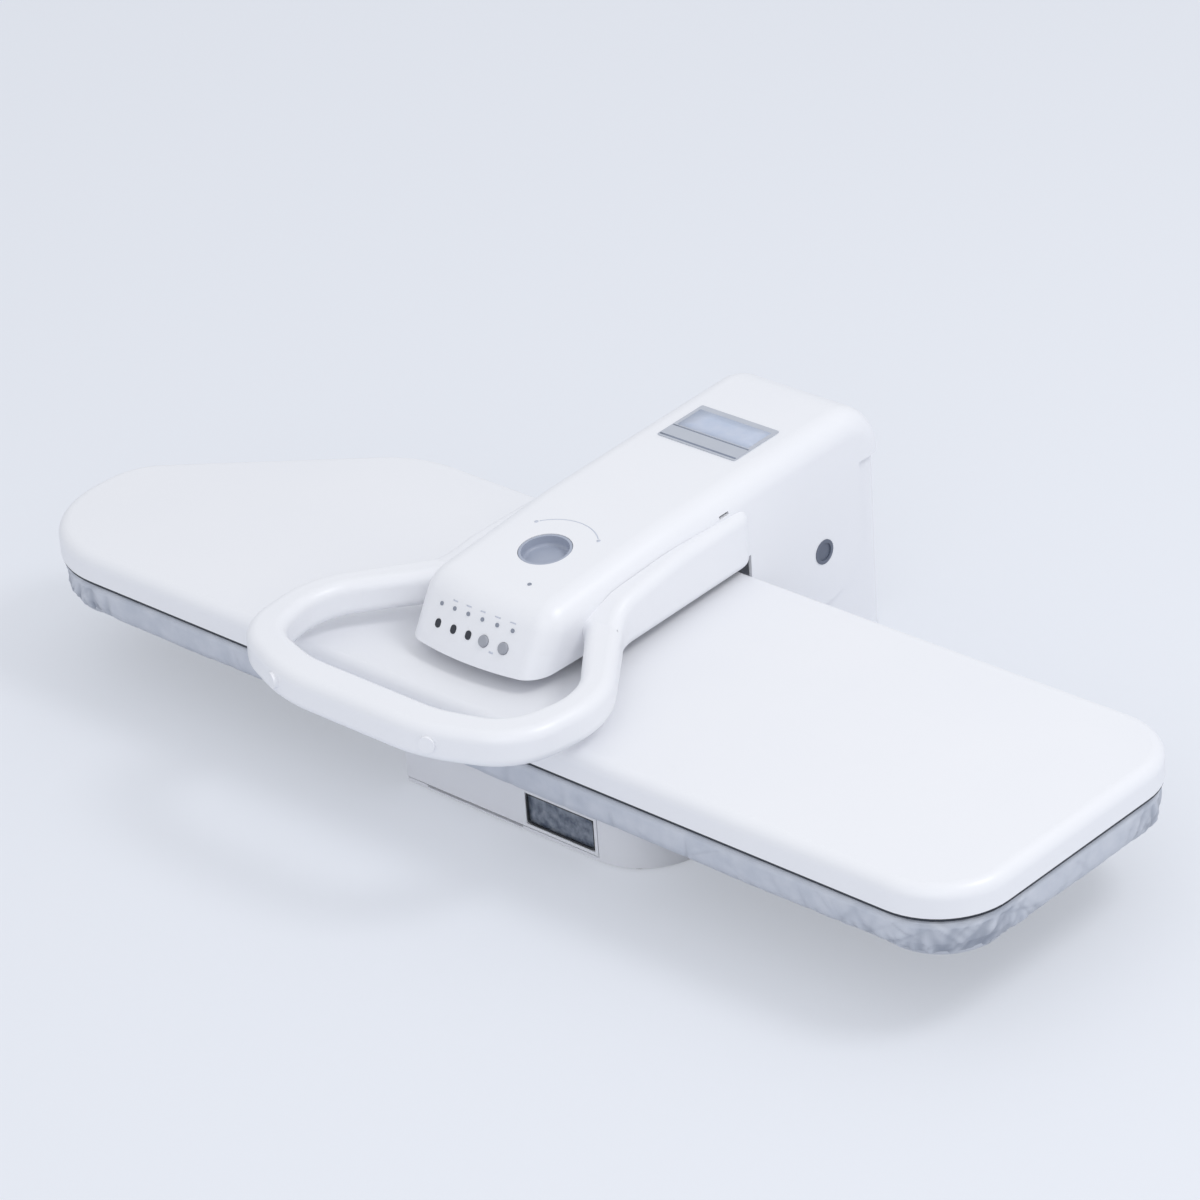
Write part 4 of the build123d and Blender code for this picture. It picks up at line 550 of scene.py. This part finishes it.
@dataclass
class ArmPrint:
    """What is printed on the arm: the scale behind the dial, marks by the lamps, and the badge's panels, one
    of them a strip of painted shade along the badge's front edge.

    Each badge box is its low and its high corner, measured from the badge's middle.
    """

    brow: tuple = (62.9, 182.6)
    top_slope: float = 0.1048
    dial_y: float = 133.0
    scale_r: float = 41.0
    scale_from: float = 49.0
    scale_to: float = 138.0
    scale_width: float = 1.0
    dot_gap: float = 3.5
    dot_r: float = 1.7
    dot_steps: int = 20
    face_low: tuple = (36.0, 136.0)
    face_tilt: float = 60.0
    face_bow: float = 300.0
    lamp_pitch: float = 14.6
    lamp_middle: float = -1.0
    mark_left: float = 1.5
    mark_up: float = 41.5
    mark_size: tuple = (5.0, 1.0)
    button_mark_at: tuple = (22.2, 14.6)
    button_mark_size: tuple = (4.0, 1.6)
    badge_y: float = 336.5
    badge_z: float = 202.8
    badge_tilt: float = 2.43
    badge_t: float = 1.0
    badge_panel: tuple = ((-36.5, -7.0), (36.5, 21.5))
    badge_line: tuple = ((-39.0, -9.6), (39.0, -8.2))
    # A strip of slate ink along the badge's front edge: painted shade.
    badge_edge_shade: tuple = ((-39.0, -25.8), (39.0, -23.8))
    film: float = 0.16

    def on_top(self, x: np.ndarray, y: np.ndarray) -> np.ndarray:
        """Places flat points on the arm's sloping top: z = brow z + slope (y - brow y)."""
        return np.stack([x, y, self.brow[1] + self.top_slope * (y - self.brow[0])], axis=-1)

    def on_face(self, x: np.ndarray, up: np.ndarray) -> np.ndarray:
        """Places points on the bowed front face: low edge + up along the slope - bow(x) along its normal.

        bow(x) = R - sqrt(R^2 - x^2).
        """
        tilt = math.radians(self.face_tilt)
        back = self.face_bow - np.sqrt(self.face_bow ** 2 - x ** 2)
        y = self.face_low[0] + up * math.cos(tilt) + back * math.sin(tilt)
        z = self.face_low[1] + up * math.sin(tilt) - back * math.cos(tilt)
        return np.stack([x, y, z], axis=-1)

    def on_badge(self, x: np.ndarray, y: np.ndarray) -> np.ndarray:
        """Places points on the badge's upper side, y measured from its middle."""
        tilt = math.radians(self.badge_tilt)
        out = self.badge_t
        return np.stack([x, self.badge_y + y * math.cos(tilt) - out * math.sin(tilt),
                         self.badge_z + y * math.sin(tilt) + out * math.cos(tilt)], axis=-1)

    def film_piece(self, name: str, points: np.ndarray, faces: np.ndarray, finish: bpy.types.Material) -> bpy.types.Object:
        """Makes one printed film, thin as ink, that rides on the arm."""
        piece = mesh_object(name, points, faces, finish)
        thicken(piece, self.film)
        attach(piece, "arm")
        return piece

    def scale(self, finish: bpy.types.Material) -> bpy.types.Object:
        """Prints the dial's arc with a dot at each end.

        Arc: dial centre + r (cos t, sin t) with r within half the scale's width of its radius.
        """
        angle = np.radians(np.linspace(self.scale_from, self.scale_to, 40))
        r = self.scale_r + np.array([-0.5, 0.5]) * self.scale_width
        x, y = r[:, None] * np.cos(angle), self.dial_y + r[:, None] * np.sin(angle)
        points = [self.on_top(x, y).reshape(-1, 3)]
        faces = grid_faces(2, len(angle), False)[:, ::-1].tolist()
        turn = np.linspace(0, 2 * math.pi, self.dot_steps, endpoint=False)
        for end in (self.scale_from - self.dot_gap, self.scale_to + self.dot_gap):
            base = sum(len(part) for part in points)
            mid = self.scale_r * np.array([math.cos(math.radians(end)), math.sin(math.radians(end))])
            ring = self.on_top(mid[0] + self.dot_r * np.cos(turn),
                               self.dial_y + mid[1] + self.dot_r * np.sin(turn))
            points += [self.on_top(mid[:1], self.dial_y + mid[1:]), ring]
            faces += [[base, base + 1 + k, base + 1 + (k + 1) % self.dot_steps]
                      for k in range(self.dot_steps)]
        return self.film_piece("dial_scale", np.vstack(points), faces, finish)

    def bars(self, name: str, places: list, size: tuple, finish: bpy.types.Material) -> bpy.types.Object:
        """Prints short plain bars on the front face, each of the size's width x height about its place."""
        points, faces = [], []
        across, high = np.meshgrid(np.linspace(-0.5, 0.5, 4) * size[0], np.array([-0.5, 0.5]) * size[1])
        for x, up in places:
            base = 8 * len(points)
            points.append(self.on_face(x + across, up + high).reshape(-1, 3))
            faces += (grid_faces(2, 4, False) + base).tolist()
        return self.film_piece(name, np.vstack(points), faces, finish)

    def panel(self, name: str, box: tuple, finish: bpy.types.Material) -> bpy.types.Object:
        """Prints a rectangle on the badge, from the box's low corner to its high corner."""
        low, high = box
        x, y = np.meshgrid(np.linspace(low[0], high[0], 6), np.linspace(low[1], high[1], 4))
        points = self.on_badge(x, y).reshape(-1, 3)
        return self.film_piece(name, points, grid_faces(4, 6, False), finish)

    def build(self) -> None:
        """Makes every print on the arm, and the painted shade along the badge's front edge."""
        grey, pale, ink_and_shade = GREY_INK.make(), PANEL_INK.make(), DARK_INK_AND_SHADE.make()
        self.scale(grey)
        lamps = [self.lamp_middle + (i - 2.5) * self.lamp_pitch for i in range(6)]
        marks = [(x - self.mark_left, self.mark_up) for x in lamps[1:]]
        self.bars("lamp_marks", marks, self.mark_size, grey)
        self.bars("button_mark", [self.button_mark_at], self.button_mark_size, grey)
        self.panel("badge_panel", self.badge_panel, pale)
        self.panel("badge_line", self.badge_line, ink_and_shade)
        # Painted shade along the badge's front edge.
        self.panel("badge_edge_shade", self.badge_edge_shade, ink_and_shade)


@dataclass
class TankWindow:
    """The dark gasket round the smoked level window in the tank's front."""

    left: float = 47.4
    right: float = 117.5
    low: float = 8.0
    high: float = 35.7
    front_y: float = 42.0
    gasket: float = 1.8
    depth: float = 1.2
    squareness: int = 14
    around: int = 120
    sides: int = 8

    def build(self, finish: bpy.types.Material) -> bpy.types.Object:
        """Builds the gasket: a round strip carried round |x / a|^n + |z / b|^n = 1, inset by its own radius.

        Args:
            finish: The gasket's material.

        Returns:
            The object, which rides on the tank.
        """
        r = self.gasket / 2
        mid_x, mid_z = (self.left + self.right) / 2, (self.low + self.high) / 2
        half_x, half_z = (self.right - self.left) / 2 - r, (self.high - self.low) / 2 - r
        t = np.linspace(0, 2 * math.pi, self.around, endpoint=False)
        cos, sin = np.cos(t), np.sin(t)
        power = 2 / self.squareness
        x = mid_x + half_x * np.sign(cos) * np.abs(cos) ** power
        z = mid_z + half_z * np.sign(sin) * np.abs(sin) ** power
        section = np.linspace(0, 2 * math.pi, self.sides, endpoint=False)
        grow_x = 1 + r * np.cos(section) / half_x
        grow_z = 1 + r * np.cos(section) / half_z
        deep = (self.front_y + self.depth + r * np.sin(section))[:, None]
        rings = np.stack([mid_x + (x[None, :] - mid_x) * grow_x[:, None],
                          np.broadcast_to(deep, (self.sides, self.around)),
                          mid_z + (z[None, :] - mid_z) * grow_z[:, None]], axis=-1)
        faces = grid_faces(self.sides, self.around, True)
        here = np.arange(self.around)
        after = (here + 1) % self.around
        last = (self.sides - 1) * self.around
        wrap = np.stack([last + here, last + after, after, here], axis=-1)
        piece = mesh_object("window_gasket", rings.reshape(-1, 3), [*faces.tolist(), *wrap.tolist()], finish)
        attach(piece, "tank")
        return piece


@dataclass
class Dressing:
    """Gives every CAD node the finish of its slot."""

    frame: dict
    made: dict = field(default_factory=dict)

    def finish(self, slot: str) -> bpy.types.Material:
        """Returns the material of a slot, made once."""
        if slot not in self.made:
            self.made[slot] = FINISHES[slot].make()
        return self.made[slot]

    def dress(self) -> None:
        """Assigns the finishes to the CAD nodes' material slots."""
        slots = {row["node"]: row["material_slot"] for row in self.frame["record"]["subparts"]}
        pale = PALE_LAMP.make()
        for node, piece in self.frame["nodes"].items():
            material = pale if node == "status_lamps" else self.finish(slots[node])
            for place in piece.material_slots:
                place.material = material
            LOG.info("%s wears %s", node, material.name)


@dataclass
class Studio:
    """The plain floor, the soft light and the camera at the photograph's angle."""

    azimuth: float = 43.7757396
    elevation: float = 28.9384184
    roll: float = -4.08357783
    distance: float = 3708.1346
    shift: tuple = (-370.827958, 0.000236)
    target: tuple = (-343.0, -185.0, 100.0)
    focal: float = 4670.7
    width: int = 1200
    sensor: float = 36.0
    far: float = 50.0
    key_watts: float = 18.0
    key_size: float = 0.8
    key_place: tuple = (1.5, 0.62, 2.35)
    fill_watts: float = 14.0
    fill_size: float = 2.4
    fill_place: tuple = (1.5, -2.5, 1.9)
    lamps_aim: tuple = (0, 0, 0.08)
    sky_strength: float = 0.79
    sky_light: str = "#F6F8FC"
    floor_glow: float = 0.42
    glow_strength: float = 1.07
    floor_r: float = 6000
    floor_rings: int = 11
    floor_around: int = 96

    def camera(self) -> None:
        """Places the camera: location = target - shift along its axes - distance along its view."""
        azimuth, elevation, roll = (math.radians(a) for a in (self.azimuth, self.elevation, self.roll))
        view = Vector((-math.sin(azimuth) * math.cos(elevation), math.cos(azimuth) * math.cos(elevation),
                       -math.sin(elevation)))
        right = Vector((math.cos(azimuth), math.sin(azimuth), 0))
        up = right.cross(view)
        across = right * math.cos(roll) + up * math.sin(roll)
        upward = up * math.cos(roll) - right * math.sin(roll)
        place = Vector(self.target) - across * self.shift[0] - upward * self.shift[1] - view * self.distance
        lens = bpy.data.cameras.new("camera")
        lens.sensor_width = self.sensor
        lens.lens = self.focal / self.width * self.sensor
        lens.shift_y = -1 / self.width
        lens.clip_end = self.far
        camera = bpy.data.objects.new("camera", lens)
        turn = Matrix((across, upward, -view)).transposed().to_4x4()
        camera.matrix_world = Matrix.Translation(place * MM) @ turn
        bpy.context.scene.collection.objects.link(camera)
        bpy.context.scene.camera = camera

    def lamp(self, name: str, place: tuple, size: float, watts: float) -> None:
        """Hangs a square soft lamp that faces the press."""
        light = bpy.data.lights.new(name, "AREA")
        light.size = size
        light.energy = watts
        lamp = bpy.data.objects.new(name, light)
        lamp.location = place
        lamp.rotation_euler = (Vector(self.lamps_aim) - Vector(place)).to_track_quat("-Z", "Y").to_euler()
        bpy.context.scene.collection.objects.link(lamp)

    def floor(self) -> None:
        """Lays the floor: a disc of rings, r = floor_r x s^2, that glows a little for the camera alone."""
        steps = np.linspace(0, 1, self.floor_rings + 1)[1:] ** 2 * self.floor_r
        turn = np.linspace(0, 2 * math.pi, self.floor_around, endpoint=False)
        rings = np.stack([steps[:, None] * np.cos(turn), steps[:, None] * np.sin(turn),
                          np.zeros((len(steps), len(turn)))], axis=-1).reshape(-1, 3) + CENTRE
        faces = grid_faces(len(steps), len(turn), True).tolist()
        faces += [[len(rings), k, (k + 1) % self.floor_around] for k in range(self.floor_around)]
        paint = FLOOR_PAINT.make()
        tree = paint.node_tree
        glow = add(tree, "Emission", {"Color": linear(SKY), "Strength": self.glow_strength})
        seen = add(tree, "Math", {"operation": "MULTIPLY", 1: self.floor_glow},
                   {0: add(tree, "LightPath").outputs["Is Camera Ray"]})
        both = add(tree, "MixShader", None, {0: seen.outputs[0], 1: tree.nodes["Principled BSDF"].outputs[0],
                                             2: glow.outputs[0]})
        tree.links.new(both.outputs[0], tree.nodes["Material Output"].inputs["Surface"])
        floor = mesh_object("floor", np.vstack([rings, CENTRE]), faces, paint)

    def sky(self) -> None:
        """Lights the room evenly; what the camera, gloss and glass see of it is the backdrop's colour."""
        world = bpy.data.worlds.new("room")
        bpy.context.scene.world = world
        world.use_nodes = True
        tree = world.node_tree
        tree.nodes.clear()
        path = add(tree, "LightPath")
        glossy = add(tree, "Math", {"operation": "MAXIMUM"},
                     {0: path.outputs["Is Camera Ray"], 1: path.outputs["Is Glossy Ray"]})
        seen = add(tree, "Math", {"operation": "MAXIMUM"},
                   {0: glossy.outputs[0], 1: path.outputs["Is Transmission Ray"]})
        light = add(tree, "Background", {"Color": linear(self.sky_light), "Strength": self.sky_strength})
        backdrop = add(tree, "Background", {"Color": linear(SKY), "Strength": 1.0})
        mixed = add(tree, "MixShader", None,
                    {0: seen.outputs[0], 1: light.outputs[0], 2: backdrop.outputs[0]})
        add(tree, "OutputWorld", None, {"Surface": mixed.outputs[0]})

    def build(self) -> None:
        """Sets the whole scene round the press."""
        self.camera()
        self.lamp("key_lamp", self.key_place, self.key_size, self.key_watts)
        self.lamp("fill_lamp", self.fill_place, self.fill_size, self.fill_watts)
        self.floor()
        self.sky()
        bpy.context.scene.view_settings.view_transform = "Standard"


def main() -> None:
    """Loads the frame, dresses it, adds the new pieces and sets the scene."""
    logging.basicConfig(level=logging.INFO, format="%(name)s: %(message)s")
    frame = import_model()
    dressing = Dressing(frame)
    dressing.dress()
    Studio().build()
    cloth = BoardCloth().build(dressing.finish("silver_cloth"))
    LOG.info("%s has %d faces", cloth.name, len(cloth.data.polygons))
    ArmPrint().build()
    TankWindow().build(dressing.finish("black_plastic"))


if __name__ == "__main__":
    main()
